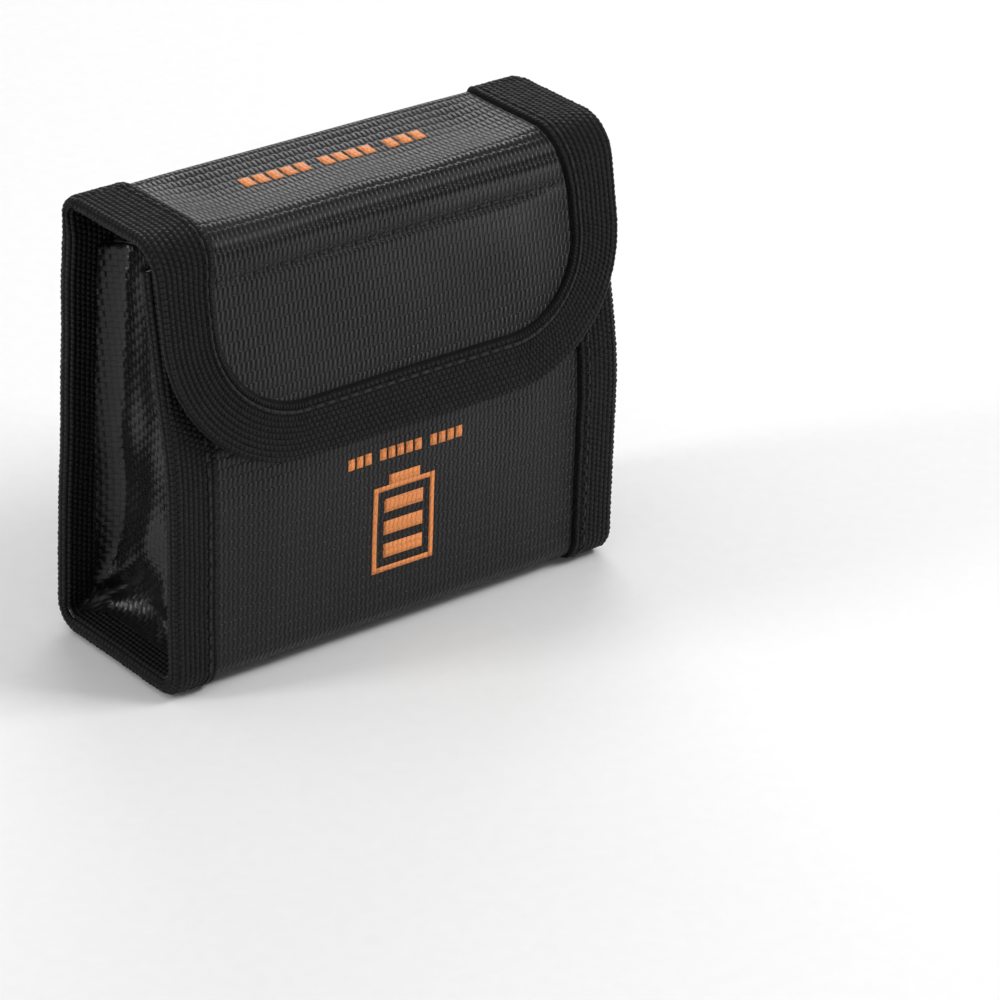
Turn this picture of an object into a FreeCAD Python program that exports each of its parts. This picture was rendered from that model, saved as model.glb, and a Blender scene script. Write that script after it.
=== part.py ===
"""A fire-resistant soft case for two drone batteries, closed, standing on its base.

One strip of coated glass cloth makes the front, base and back, and runs on as the lid and the
flap. Two recessed gussets close the sides. The strip's edges and the gussets' edges stand out
together as seams, and folded webbing binds them. Above a knee the front leans back, because the
fastened flap pulls the mouth narrow. Every piece is cut, folded or sewn cloth.

Frame: millimetres, +Z up, +X to the right, the flap faces -Y. The origin is at the middle of the
base, halfway between the front of the flap and the back.
"""

import FreeCAD
import Part
import Sketcher

import os

# alias, value, what it is
DIMENSIONS = [
    ("bag_width", 110.0, "across the bound seams"),
    ("bag_depth", 40.5, "front cloth to back cloth at the base, outside faces"),
    ("bag_height", 95.0, "floor to the top of the lid's webbing"),
    ("cloth", 0.8, "coated glass cloth"),
    ("lining", 0.6, "silver-white woven lining"),
    ("gusset_cloth", 0.6, "gloss cloth of gussets and wings"),
    ("gusset_lining", 0.4, "lining of gussets and wings"),
    ("tape", 0.9, "webbing, one leaf"),
    ("seam_width", 11.5, "how far the seams stand out from the gussets"),
    ("seam_cover", 10.0, "webbing's width over front, base and back"),
    ("lid_cover", 13.0, "webbing's width over the lid"),
    ("flap_cover", 11.5, "webbing's width round the flap"),
    ("base_bend", 5.0, "outside radius where the strip turns up from the base"),
    ("knee", 45.0, "height above which the front leans back"),
    ("front_slope", 0.185, "lean of the front above the knee, depth over height"),
    ("back_slope", 0.044, "lean of the back, depth over height"),
    ("closure_gap", 2.9, "front cloth to the flap's lining, room for the fastener"),
    ("loop_thick", 1.4, "loop strip"),
    ("loop_height", 29.0, "loop strip"),
    ("hook_thick", 1.1, "hook strip"),
    ("loop_half", 42.4, "half the length of the loop strip"),
    ("hook_half", 41.4, "half the length of the hook strip"),
    ("loop_drop", 0.5, "mouth edge to the loop strip, along the front"),
    ("strip_inset", 2.0, "edge of the loop or hook strip to its row of stitches"),
    ("mouth", 88.5, "height of the front's mouth edge"),
    ("hem_cloth", 0.6, "turned hem at the mouth"),
    ("hem_depth", 9.0, "turned hem at the mouth"),
    ("flap_length", 48.4, "lid's front fold to the flap's lower edge, along the flap"),
    ("flap_corner", 30.0, "radius of the flap's lower corners"),
    ("flap_inner_corner", 14.0, "radius of the webbing's inner edge there"),
    ("hook_row", 7.2, "lid's front fold to the hook strip's upper edge"),
    ("panel_fold", 1.0, "cloth edge to a fold's axis"),
    ("tape_fold", 2.6, "webbing's end to a fold's axis"),
    ("back_fold", 1.2, "top of the back cloth below the lid's axis"),
    ("back_tape_top", 89.0, "height of the back webbing's end"),
    ("gusset_top", 83.4, "top edge of the gussets"),
    ("wing_level", 84.6, "height of the wings' fold axes"),
    ("wing_axis", 42.8, "wings' fold axes from the middle"),
    ("wing_fold", 0.8, "wing's edge to its fold's axis"),
    ("wing_tip", 2.0, "wing's free edge from the middle"),
    ("wing_cut", 9.0, "how much the wing's back corner is cut away at the tip"),
    ("wing_cut_start", 32.0, "where that cut starts, from the middle"),
    ("wing_hem", 6.5, "width of the wing's edging"),
    ("wing_hem_cloth", 0.3, "wing's edging, one leaf"),
    ("divider_cloth", 1.0, "divider"),
    ("divider_top", 76.0, "height of the divider"),
    ("divider_hem", 6.0, "width of the divider's hem"),
    ("divider_hem_cloth", 0.4, "divider's hem, one leaf"),
    ("stitch_length", 2.6, "one stitch"),
    ("stitch_pitch", 3.8, "one stitch to the next"),
    ("stitch_inset", 1.8, "row of stitches to the webbing's inner edge"),
    ("thread", 0.5, "sewing thread's width"),
    ("thread_rise", 0.25, "how far a stitch stands proud"),
    ("ink", 0.1, "printed marks' thickness"),
    ("dash_length", 3.6, "one printed dash"),
    ("dash_gap", 1.4, "one printed dash to the next"),
    ("lid_dashes", 9, "dashes in the lid's row"),
    ("lid_dash_width", 3.4, "how broad the lid's dashes are"),
    ("lid_row_y", 5.5, "lid's row of dashes, from the middle plane"),
    ("front_dashes", 6, "dashes in the front's row"),
    ("front_dash_width", 2.6, "how broad the front's dashes are"),
    ("front_row", 40.0, "height of the front's row of dashes"),
    ("sign_middle", 23.5, "height of the battery sign's middle"),
    ("sign_width", 15.0, "battery sign"),
    ("sign_height", 19.0, "battery sign"),
    ("sign_line", 1.1, "line width of the battery sign"),
    ("fit", 0.05, "slack where a piece ends against another"),
    ("clearance", 0.3, "between pieces that pass each other"),
]

# Planes and layers that many pieces share, as expressions on the sheet.
STACK = "(dims.cloth + dims.lining)"
SEAM_STACK = f"({STACK} + dims.gusset_lining + dims.gusset_cloth)"
HALF_WIDTH = "(dims.bag_width / 2)"
CLOTH_HALF = "(dims.bag_width / 2 - dims.tape)"
GUSSET = "(dims.bag_width / 2 - dims.seam_width)"
GUSSET_INNER = f"({GUSSET} - dims.gusset_cloth - dims.gusset_lining)"
SHIFT = f"((dims.closure_gap + {STACK}) / 2)"
FRONT = f"({SHIFT} - dims.bag_depth / 2)"
BACK = f"({SHIFT} + dims.bag_depth / 2)"
TURN = "(dims.tape + dims.base_bend)"
LID_TOP = "(dims.bag_height - dims.tape)"
FOLD_Z = f"({LID_TOP} - {STACK} / 2)"
STRETCH = "sqrt(1 + dims.front_slope * dims.front_slope)"
LOOP_TOP = f"((dims.mouth - dims.knee) * {STRETCH} - dims.loop_drop)"
SPILL = 2.0  # how far a cutting profile runs past the solid it cuts


def front_at(height, depth="0"):
    """Expression for y on the front above the knee, at a depth below the cloth's outside face."""
    return f"({FRONT} + dims.front_slope * (({height}) - dims.knee) + ({depth}))"


def back_at(height, depth="0"):
    """Expression for y on the back, at a depth below the cloth's outside face."""
    return f"({BACK} - dims.back_slope * (({height}) - {TURN}) - ({depth}))"


LID_FOLD_Y = f"({back_at(FOLD_Z)} - {STACK} / 2)"
FLAP_FOLD_Y = f"({front_at(FOLD_Z)} - (dims.closure_gap + {STACK} / 2) * {STRETCH})"
WING_NEAR = f"({front_at('dims.mouth + dims.hem_cloth', f'{STACK} + dims.hem_cloth')} + dims.clearance)"
WING_FAR = f"({back_at(FOLD_Z, STACK)} - dims.clearance)"

doc = FreeCAD.newDocument("lipo_safe_bag")
NODES = []


def make_sheet():
    """Put the driving dimensions in a spreadsheet named dims."""
    sheet = doc.addObject("Spreadsheet::Sheet", "dims")
    for row, (alias, number, note) in enumerate(DIMENSIONS, start=1):
        sheet.set(f"A{row}", note)
        sheet.set(f"B{row}", str(number))
        sheet.setAlias(f"B{row}", alias)
    doc.recompute()
    return sheet


dims = make_sheet()


def value(expression):
    """Value of an expression on the sheet, as a plain number."""
    result = dims.evalExpression(str(expression))
    return float(getattr(result, "Value", result))


def new_body(name):
    """Start a named body and remember it as a node."""
    body = doc.addObject("PartDesign::Body", name)
    body.Label = name
    NODES.append(body)
    return body


def lean_with_front(body, y, z):
    """Turn a body to the front's lean about the X line through (y, z), where its origin goes."""
    body.Placement = FreeCAD.Placement(FreeCAD.Vector(), FreeCAD.Rotation(FreeCAD.Vector(-1, 0, 0), 1))
    body.setExpression("Placement.Base.y", y)
    body.setExpression("Placement.Base.z", z)
    body.setExpression("Placement.Rotation.Angle", "atan(dims.front_slope)")


def new_sketch(body, name, plane, offset="0"):
    """Attach a sketch to one of the body's own origin planes, moved along its normal."""
    sketch = body.newObject("Sketcher::SketchObject", f"{body.Name}_{name}")
    support = [f for f in body.Origin.OriginFeatures if f.Role == plane][0]
    sketch.AttachmentSupport = (support, "")
    sketch.MapMode = "FlatFace"
    sketch.setExpression("AttachmentOffset.Base.z", offset)
    doc.recompute()
    return sketch


def draw(sketch, vertices):
    """Draw a closed outline and bind each vertex, and each arc's radius, to the sheet.

    A vertex is (u, v) with a straight edge to the next one, or (u, v, radius, cu, cv) with an arc
    of that radius about (cu, cv); all of them are expressions.
    """
    points = [FreeCAD.Vector(value(p[0]), value(p[1]), 0) for p in vertices]
    ends = []
    for i, vertex in enumerate(vertices):
        start, stop = points[i], points[(i + 1) % len(points)]
        if len(vertex) == 2:
            shape = Part.LineSegment(start, stop)
        else:
            centre = FreeCAD.Vector(value(vertex[3]), value(vertex[4]), 0)
            outward = (start + stop) * 0.5 - centre
            outward.normalize()
            shape = Part.Arc(start, centre + outward * value(vertex[2]), stop)
        edge = sketch.addGeometry(shape, False)
        first = 1 if sketch.getPoint(edge, 1).distanceToPoint(start) < 1e-6 else 2
        ends.append((edge, first, 3 - first))
    for i, vertex in enumerate(vertices):
        edge, first, last = ends[i]
        after, after_first, _ = ends[(i + 1) % len(ends)]
        sketch.addConstraint(Sketcher.Constraint("Coincident", edge, last, after, after_first))
        sizes = [("DistanceX", vertex[0], points[i].x), ("DistanceY", vertex[1], points[i].y)]
        for kind, expression, number in sizes:
            index = sketch.addConstraint(Sketcher.Constraint(kind, -1, 1, edge, first, number))
            sketch.setExpression(f"Constraints[{index}]", str(expression))
        if len(vertex) > 2:
            index = sketch.addConstraint(Sketcher.Constraint("Radius", edge, value(vertex[2])))
            sketch.setExpression(f"Constraints[{index}]", str(vertex[2]))


def extrude(body, sketch, length, kind="Pad", both_ways=False, backwards=False):
    """Pad or pocket a sketch by an expression, and check that a pocket removes material."""
    doc.recompute()
    before = body.Shape.Volume if kind == "Pocket" else 0.0
    feature = body.newObject(f"PartDesign::{kind}", f"{sketch.Name}_{kind.lower()}")
    feature.Profile = sketch
    feature.setExpression("Length", length)
    if both_ways:
        feature.SideType = "Symmetric"
    feature.Reversed = backwards
    doc.recompute()
    if kind == "Pocket" and body.Shape.Volume > before - 1e-3:
        raise RuntimeError(f"{feature.Name} cuts nothing")
    return feature


def plate(name, plane, outline, offset, thickness, both_ways=False, backwards=False):
    """A flat piece of cloth: one outline, padded by its thickness."""
    body = new_body(name)
    sketch = new_sketch(body, "outline", plane, offset)
    draw(sketch, outline)
    extrude(body, sketch, thickness, both_ways=both_ways, backwards=backwards)
    return body


def rectangle(left, right, low, high):
    """Outline of a rectangle between four expressions."""
    return [(left, low), (right, low), (right, high), (left, high)]


def cradle(depth, front_top, back_top):
    """Path of one face of the strip: down the front, along the base, up the back."""
    radius = f"(dims.base_bend - ({depth}))"
    near, far = f"({FRONT} + dims.base_bend)", f"({BACK} - dims.base_bend)"
    low = f"(dims.tape + ({depth}))"
    return [
        (front_at(front_top, depth), front_top),
        (f"({FRONT} + ({depth}))", "dims.knee"),
        (f"({FRONT} + ({depth}))", TURN, radius, near, TURN),
        (near, low),
        (far, low, radius, far, TURN),
        (f"({BACK} - ({depth}))", TURN),
        (back_at(back_top, depth), back_top),
    ]


def backwards_path(path):
    """The same path from its other end, with each arc kept on the edge it belongs to."""
    points = [vertex[:2] for vertex in path][::-1]
    arcs = [vertex[2:] for vertex in path[:-1]][::-1] + [()]
    return [point + arc for point, arc in zip(points, arcs)]


def layer(outer, inner, front_top, back_top):
    """Outline of a layer of the strip between two depths, negative ones outside the cloth."""
    outside = cradle(outer, front_top, back_top)
    return outside + backwards_path(cradle(inner, front_top, back_top))


def wrap_layers():
    """The strip of cloth and its lining, from the mouth round the base to the lid's fold."""
    back_top = f"({FOLD_Z} - dims.back_fold)"
    for name, outer, inner in (
        ("outer_wrap", "0", "dims.cloth"),
        ("wrap_lining", "dims.cloth", STACK),
    ):
        outline = layer(outer, inner, "dims.mouth", back_top)
        plate(name, "YZ_Plane", outline, "0", f"2 * {CLOTH_HALF}", both_ways=True)


def gusset(side, hand):
    """One recessed side: a gloss cloth tray and its lining, both with edges turned outwards."""
    middle = f"({GUSSET} - dims.gusset_cloth)"
    lining_depth = f"({STACK} + dims.gusset_lining)"
    top, above = "dims.gusset_top", f"dims.gusset_top + {SPILL}"
    for name, floor, step, depth, next_depth in (
        (f"{hand}_gusset_lining", GUSSET_INNER, middle, STACK, lining_depth),
        (f"{hand}_gusset", middle, GUSSET, lining_depth, SEAM_STACK),
    ):
        body = new_body(name)
        tray = new_sketch(body, "tray", "YZ_Plane", f"{side} * {floor}")
        draw(tray, cradle(depth, top, top))
        extrude(body, tray, f"{CLOTH_HALF} - {floor}", backwards=side < 0)
        recess = new_sketch(body, "recess", "YZ_Plane", f"{side} * {CLOTH_HALF}")
        draw(recess, cradle(next_depth, above, above))
        extrude(body, recess, f"{CLOTH_HALF} - {step}", "Pocket", backwards=side < 0)


def seam_binding(side, hand):
    """Webbing folded over the standing seam: up the back, along the base and up the front."""
    inner = f"({HALF_WIDTH} - dims.seam_cover)"
    body = new_body(f"{hand}_seam_binding")
    band = new_sketch(body, "band", "YZ_Plane", f"{side} * {HALF_WIDTH}")
    draw(band, layer("-dims.tape", f"{SEAM_STACK} + dims.tape", "dims.mouth", "dims.back_tape_top"))
    extrude(body, band, "dims.seam_cover", backwards=side > 0)
    slot = new_sketch(body, "slot", "YZ_Plane", f"{side} * {inner}")
    draw(slot, layer("0", SEAM_STACK, f"dims.mouth + {SPILL}", f"dims.back_tape_top + {SPILL}"))
    extrude(body, slot, f"{CLOTH_HALF} - {inner}", "Pocket", backwards=side > 0)


def mouth_hem():
    """The front's mouth edge, turned over to the inside."""
    low, edge, top = "dims.mouth - dims.hem_depth", "dims.mouth", "dims.mouth + dims.hem_cloth"
    turned = f"{STACK} + dims.hem_cloth"
    outline = [
        (front_at(edge), edge),
        (front_at(edge, STACK), edge),
        (front_at(low, STACK), low),
        (front_at(low, turned), low),
        (front_at(top, turned), top),
        (front_at(top), top),
    ]
    length = f"2 * ({GUSSET_INNER} - dims.clearance)"
    plate("mouth_hem", "YZ_Plane", outline, "0", length, both_ways=True)


def loop_strip():
    """The soft half of the touch fastener, across the front below the mouth."""
    outline = rectangle("-dims.loop_half", "dims.loop_half", f"{LOOP_TOP} - dims.loop_height", LOOP_TOP)
    body = plate("loop_strip", "XZ_Plane", outline, "0", "dims.loop_thick")
    lean_with_front(body, FRONT, "dims.knee")


def divider():
    """The wall that parts the two bays, and the hem folded over its top edge."""
    depth = STACK
    wall = cradle(depth, "dims.divider_top", "dims.divider_top")
    plate("divider", "YZ_Plane", wall, "0", "dims.divider_cloth", both_ways=True)
    low, leaf = "(dims.divider_top - dims.divider_hem)", "dims.divider_hem_cloth"
    top = f"(dims.divider_top + {leaf})"
    body = new_body("divider_hem")
    for name, ends, thickness, kind in (
        ("band", (low, top), f"dims.divider_cloth + 2 * {leaf}", "Pad"),
        ("slot", (f"{low} - {SPILL}", "dims.divider_top"), "dims.divider_cloth", "Pocket"),
    ):
        sketch = new_sketch(body, name, "YZ_Plane")
        margin = "(dims.hem_cloth + dims.fit)" if kind == "Pad" else "0"
        outline = [
            (front_at(ends[0], f"{depth} + {margin}"), ends[0]),
            (back_at(ends[0], f"{depth} + {margin}"), ends[0]),
            (back_at(ends[1], f"{depth} + {margin}"), ends[1]),
            (front_at(ends[1], f"{depth} + {margin}"), ends[1]),
        ]
        draw(sketch, outline)
        extrude(body, sketch, thickness, kind, both_ways=True)


def lid_binding(side, hand):
    """Webbing folded over one side of the lid."""
    inner, edge, cloth_edge = f"({HALF_WIDTH} - dims.lid_cover)", HALF_WIDTH, CLOTH_HALF
    low, high = f"({LID_TOP} - {STACK})", LID_TOP
    channel = [
        (f"{side} * {inner}", f"{low} - dims.tape"),
        (f"{side} * {edge}", f"{low} - dims.tape"),
        (f"{side} * {edge}", f"{high} + dims.tape"),
        (f"{side} * {inner}", f"{high} + dims.tape"),
        (f"{side} * {inner}", high),
        (f"{side} * {cloth_edge}", high),
        (f"{side} * {cloth_edge}", low),
        (f"{side} * {inner}", low),
    ]
    start = f"-({FLAP_FOLD_Y} + dims.tape_fold)"
    length = f"{LID_FOLD_Y} - {FLAP_FOLD_Y} - 2 * dims.tape_fold"
    plate(f"{hand}_lid_binding", "XZ_Plane", channel, start, length, backwards=True)


def lid():
    """The top: cloth over lining."""
    near = f"({FLAP_FOLD_Y} + dims.panel_fold)"
    far = f"({LID_FOLD_Y} - dims.panel_fold)"
    outline = rectangle(f"-{CLOTH_HALF}", CLOTH_HALF, near, far)
    plate("lid_panel", "XY_Plane", outline, LID_TOP, "dims.cloth", backwards=True)
    under = f"({LID_TOP} - dims.cloth)"
    plate("lid_lining", "XY_Plane", outline, under, "dims.lining", backwards=True)


def flap_edge(half, low, radius, top):
    """Path round the flap's free edge, from its upper left to its upper right."""
    turn, corner = f"({low} + {radius})", f"({half} - {radius})"
    return [
        (f"-{half}", top),
        (f"-{half}", turn, radius, f"-{corner}", turn),
        (f"-{corner}", low),
        (corner, low, radius, corner, turn),
        (half, turn),
        (half, top),
    ]


def flap():
    """The front of the closure, with its origin on the fold: cloth, lining, hooks and webbing."""
    middle = f"({STACK} / 2)"
    low = "(-dims.flap_length)"
    cloth_low = f"({low} + dims.tape)"
    cloth_radius = "(dims.flap_corner - dims.tape)"
    cloth = flap_edge(CLOTH_HALF, cloth_low, cloth_radius, "-dims.panel_fold")
    panel = plate("flap_panel", "XZ_Plane", cloth, middle, "dims.cloth", backwards=True)
    under = f"{middle} - dims.cloth"
    lining = plate("flap_lining", "XZ_Plane", cloth, under, "dims.lining", backwards=True)

    binding = new_body("flap_binding")
    band = new_sketch(binding, "band", "XZ_Plane")
    outer = flap_edge(HALF_WIDTH, low, "dims.flap_corner", "-dims.tape_fold")
    inner_half = f"({HALF_WIDTH} - dims.flap_cover)"
    inner_low = f"({low} + dims.flap_cover)"
    inner = flap_edge(inner_half, inner_low, "dims.flap_inner_corner", "-dims.tape_fold")
    draw(band, outer + backwards_path(inner))
    extrude(binding, band, f"{STACK} + 2 * dims.tape", both_ways=True)
    slot = new_sketch(binding, "slot", "XZ_Plane")
    draw(slot, cloth)
    extrude(binding, slot, STACK, "Pocket", both_ways=True)

    strip_low = f"({inner_low} + dims.clearance)"
    outline = flap_edge("dims.hook_half", strip_low, "dims.flap_inner_corner", "-dims.hook_row")
    side = f"-{middle}"
    hooks = plate("hook_strip", "XZ_Plane", outline, side, "dims.hook_thick", backwards=True)
    for body in (panel, lining, binding, hooks):
        lean_with_front(body, FLAP_FOLD_Y, FOLD_Z)


def wing_edge(side, inset, root):
    """Path round a wing's free edges, inset from them, from its near root to its far root."""
    near, far = f"({WING_NEAR} + {inset})", f"({WING_FAR} - {inset})"
    tip = f"{side} * (dims.wing_tip + {inset})"
    return [
        (f"{side} * {root}", near),
        (tip, near),
        (tip, f"{far} - dims.wing_cut"),
        (f"{side} * dims.wing_cut_start", far),
        (f"{side} * {root}", far),
    ]


def wing(side, hand):
    """A dust wing that carries on from the gusset and folds in over the mouth."""
    leaf, level = "dims.wing_hem_cloth", "dims.wing_level"
    root = "(dims.wing_axis - dims.wing_fold)"
    cloth = wing_edge(side, leaf, root)
    plate(f"{hand}_wing_panel", "XY_Plane", cloth, level, "dims.gusset_cloth")
    plate(f"{hand}_wing_lining", "XY_Plane", cloth, level, "dims.gusset_lining", backwards=True)
    body = new_body(f"{hand}_wing_hem")
    middle = f"({level} + (dims.gusset_cloth - dims.gusset_lining) / 2)"
    stack = "(dims.gusset_cloth + dims.gusset_lining)"
    band = new_sketch(body, "band", "XY_Plane", middle)
    draw(band, wing_edge(side, "0", root) + wing_edge(side, "dims.wing_hem", root)[::-1])
    extrude(body, band, f"{stack} + 2 * {leaf}", both_ways=True)
    slot = new_sketch(body, "slot", "XY_Plane", middle)
    draw(slot, wing_edge(side, leaf, f"({root} + {SPILL})"))
    extrude(body, slot, stack, "Pocket", both_ways=True)


def stitch_row(start, stop, up):
    """A straight row of separate stitches from start to stop on a face whose normal is up."""
    length, thick, rise = (value(f"dims.{n}") for n in ("stitch_length", "thread", "thread_rise"))
    pitch = value("dims.stitch_pitch")
    run = stop - start
    count = int(run.Length // pitch)
    margin = (run.Length - (count - 1) * pitch) / 2
    along = run.normalize()
    turn = FreeCAD.Rotation(along, up.cross(along), up, "XZY")
    solids = []
    for i in range(count):
        stitch = Part.makeBox(length, thick, rise, FreeCAD.Vector(-length / 2, -thick / 2, 0))
        stitch.Placement = FreeCAD.Placement(start + along * (margin + i * pitch), turn)
        solids.append(stitch)
    return solids


def add_loose(name, shape):
    """Remember a shape of separate small solids as one node."""
    feature = doc.addObject("Part::Feature", name)
    feature.Label = name
    feature.Shape = shape
    NODES.append(feature)


def stitches(name, rows):
    """Rows of stitches that belong to one seam, as one node of separate solids."""
    add_loose(name, Part.makeCompound([solid for row in rows for solid in stitch_row(*row)]))


def vector(x, y, z):
    """A point or direction from numbers or expressions."""
    return FreeCAD.Vector(value(x), value(y), value(z))


def front_stitches():
    """Rows along the loop strip and up the seams' webbing, front and back."""
    slope_up = vector(0, "dims.front_slope", 1).normalize()
    front_out = vector(0, -1, "dims.front_slope").normalize()
    knee = vector(0, FRONT, "dims.knee")
    x = vector(1, 0, 0)
    half = value("dims.hook_half")
    top = value(f"{LOOP_TOP} - dims.strip_inset")
    low = value(f"{LOOP_TOP} - dims.loop_height + dims.strip_inset")
    rows = []
    for height in (top, low):
        middle = knee + front_out * value("dims.loop_thick") + slope_up * height
        rows.append((middle - x * half, middle + x * half, front_out))
    stitches("loop_strip_stitches", rows)

    back_up = vector(0, "-dims.back_slope", 1).normalize()
    back_out = vector(0, 1, "dims.back_slope").normalize()
    row_x = value(f"{HALF_WIDTH} - dims.seam_cover + dims.stitch_inset")
    tape = value("dims.tape")
    for side, hand in ((-1, "left"), (1, "right")):
        across = x * side * row_x
        turn = knee - vector(0, 0, f"dims.knee - {TURN}")
        out = vector(0, -1, 0)
        front_low = (turn + across + out * tape, knee + across + out * tape, out)
        mouth = slope_up * value(f"(dims.mouth - dims.knee) * {STRETCH}")
        front_high = (
            knee + across + front_out * tape,
            knee + across + front_out * tape + mouth,
            front_out,
        )
        back_low = vector(0, BACK, TURN) + across + back_out * tape
        back_row = (back_low, back_low + back_up * value(f"dims.back_tape_top - {TURN}"), back_out)
        stitches(f"{hand}_seam_stitches", [front_low, front_high, back_row])


def lid_and_flap_stitches():
    """Rows on the webbing of the lid and flap, and across the flap over its hook strip."""
    x, z = vector(1, 0, 0), vector(0, 0, 1)
    down = vector(0, "-dims.front_slope", -1).normalize()
    out = vector(0, -1, "dims.front_slope").normalize()
    fold = vector(0, FLAP_FOLD_Y, FOLD_Z)
    cloth_face = fold + out * value(f"{STACK} / 2")
    tape_face = cloth_face + out * value("dims.tape")
    half = value("dims.hook_half")
    middle = cloth_face + down * value("dims.hook_row + dims.strip_inset")
    stitches("hook_strip_stitches", [(middle - x * half, middle + x * half, out)])

    lid_x = value(f"{HALF_WIDTH} - dims.lid_cover + dims.stitch_inset")
    near = vector(0, f"{FLAP_FOLD_Y} + dims.tape_fold", "dims.bag_height")
    far = vector(0, f"{LID_FOLD_Y} - dims.tape_fold", "dims.bag_height")
    for side, hand in ((-1, "left"), (1, "right")):
        stitches(f"{hand}_lid_stitches", [(near + x * side * lid_x, far + x * side * lid_x, z)])

    row_x = value(f"{HALF_WIDTH} - dims.flap_cover + dims.stitch_inset")
    corner_x = value(f"{HALF_WIDTH} - dims.flap_cover - dims.flap_inner_corner")
    top = tape_face + down * value("dims.tape_fold")
    corner = tape_face + down * value("dims.flap_length - dims.flap_cover - dims.flap_inner_corner")
    low = tape_face + down * value("dims.flap_length - dims.flap_cover + dims.stitch_inset")
    rows = [(top + x * side * row_x, corner + x * side * row_x, out) for side in (-1, 1)]
    rows.append((low - x * corner_x, low + x * corner_x, out))
    stitches("flap_edge_stitches", rows)


def dash_row(count, width, height):
    """A level row of equal dashes, as marks."""
    length = value("dims.dash_length")
    pitch = length + value("dims.dash_gap")
    return [((i - (count - 1) / 2) * pitch, height, length, width) for i in range(count)]


def battery_sign(middle):
    """An upright battery with its terminal and one charge bar, as marks."""
    width, height, line = (value(f"dims.sign_{n}") for n in ("width", "height", "line"))
    side, end = (width - line) / 2, (height - line) / 2
    return [
        (0, middle + end, width, line),
        (0, middle - end, width, line),
        (side, middle, line, height),
        (-side, middle, line, height),
        (0, middle + height / 2 + line, width / 2, 2 * line),
        (0, middle - height / 6, width - 5 * line, height / 4),
    ]


def printed(name, origin, up, marks):
    """Flat printed marks on a face, as one node; a mark is (u, v, length, width) from the origin."""
    x = vector(1, 0, 0)
    turn = FreeCAD.Rotation(x, up.cross(x), up, "XZY")
    ink = value("dims.ink")
    solids = []
    for u, v, length, width in marks:
        mark = Part.makeBox(length, width, ink, FreeCAD.Vector(u - length / 2, v - width / 2, 0))
        mark.Placement = FreeCAD.Placement(origin, turn)
        solids.append(mark)
    add_loose(name, solids[0].multiFuse(solids[1:]).removeSplitter())


def prints():
    """Generic marks: a row of dashes on the lid, and one over a battery sign on the front."""
    lid_top = vector(0, "dims.lid_row_y", LID_TOP)
    row = dash_row(int(value("dims.lid_dashes")), value("dims.lid_dash_width"), 0)
    printed("lid_print", lid_top, vector(0, 0, 1), row)
    row = dash_row(
        int(value("dims.front_dashes")), value("dims.front_dash_width"), value("dims.front_row")
    )
    sign = battery_sign(value("dims.sign_middle"))
    printed("front_print", vector(0, FRONT, 0), vector(0, -1, 0), row + sign)


def check_and_export():
    """Refuse a failed object or shape, then write each node's STEP file."""
    doc.recompute()
    failed = [o.Name for o in doc.Objects if {"Invalid", "Error"} & set(o.State)]
    if failed:
        raise RuntimeError(f"failed objects: {failed}")
    os.makedirs("parts", exist_ok=True)
    for node in NODES:
        if node.Shape.isNull() or not node.Shape.isValid() or not node.Shape.Solids:
            raise RuntimeError(f"{node.Label} has no valid solid")
    for node in NODES:
        node.Shape.exportStep(os.path.join("parts", f"{node.Label}.step"))
        box = node.Shape.BoundBox
        print(
            f"{node.Label}: {len(node.Shape.Solids)} solids, {node.Shape.Volume:.0f} mm3, "
            f"y {box.YMin:.2f}..{box.YMax:.2f}, z {box.ZMin:.2f}..{box.ZMax:.2f}"
        )
    print(f"lid fold y {value(LID_FOLD_Y):.4f}, z {value(FOLD_Z):.4f}")
    print(f"flap fold y {value(FLAP_FOLD_Y):.4f}, z {value(FOLD_Z):.4f}")
    print(f"wing folds x {value('dims.wing_axis'):.4f}, z {value('dims.wing_level'):.4f}")


wrap_layers()
mouth_hem()
loop_strip()
divider()
lid()
flap()
for hand_side, hand_name in ((-1, "left"), (1, "right")):
    gusset(hand_side, hand_name)
    seam_binding(hand_side, hand_name)
    lid_binding(hand_side, hand_name)
    wing(hand_side, hand_name)
front_stitches()
lid_and_flap_stitches()
prints()
check_and_export()
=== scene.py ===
"""Looks of the fire-resistant battery case: sewn cloth, woven webbing, thread and touch fastener.

One strip of ribbed cloth runs down the front, under the base, up the back, over the lid and down
the flap. Every piece sewn to it is laid out flat on that strip, in metres across and along, and
then carried to its place by the strip's side profile. Metres throughout, in the frame's axes.
"""

import logging
import math
from collections.abc import Callable
from dataclasses import dataclass, field
from enum import Enum

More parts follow.
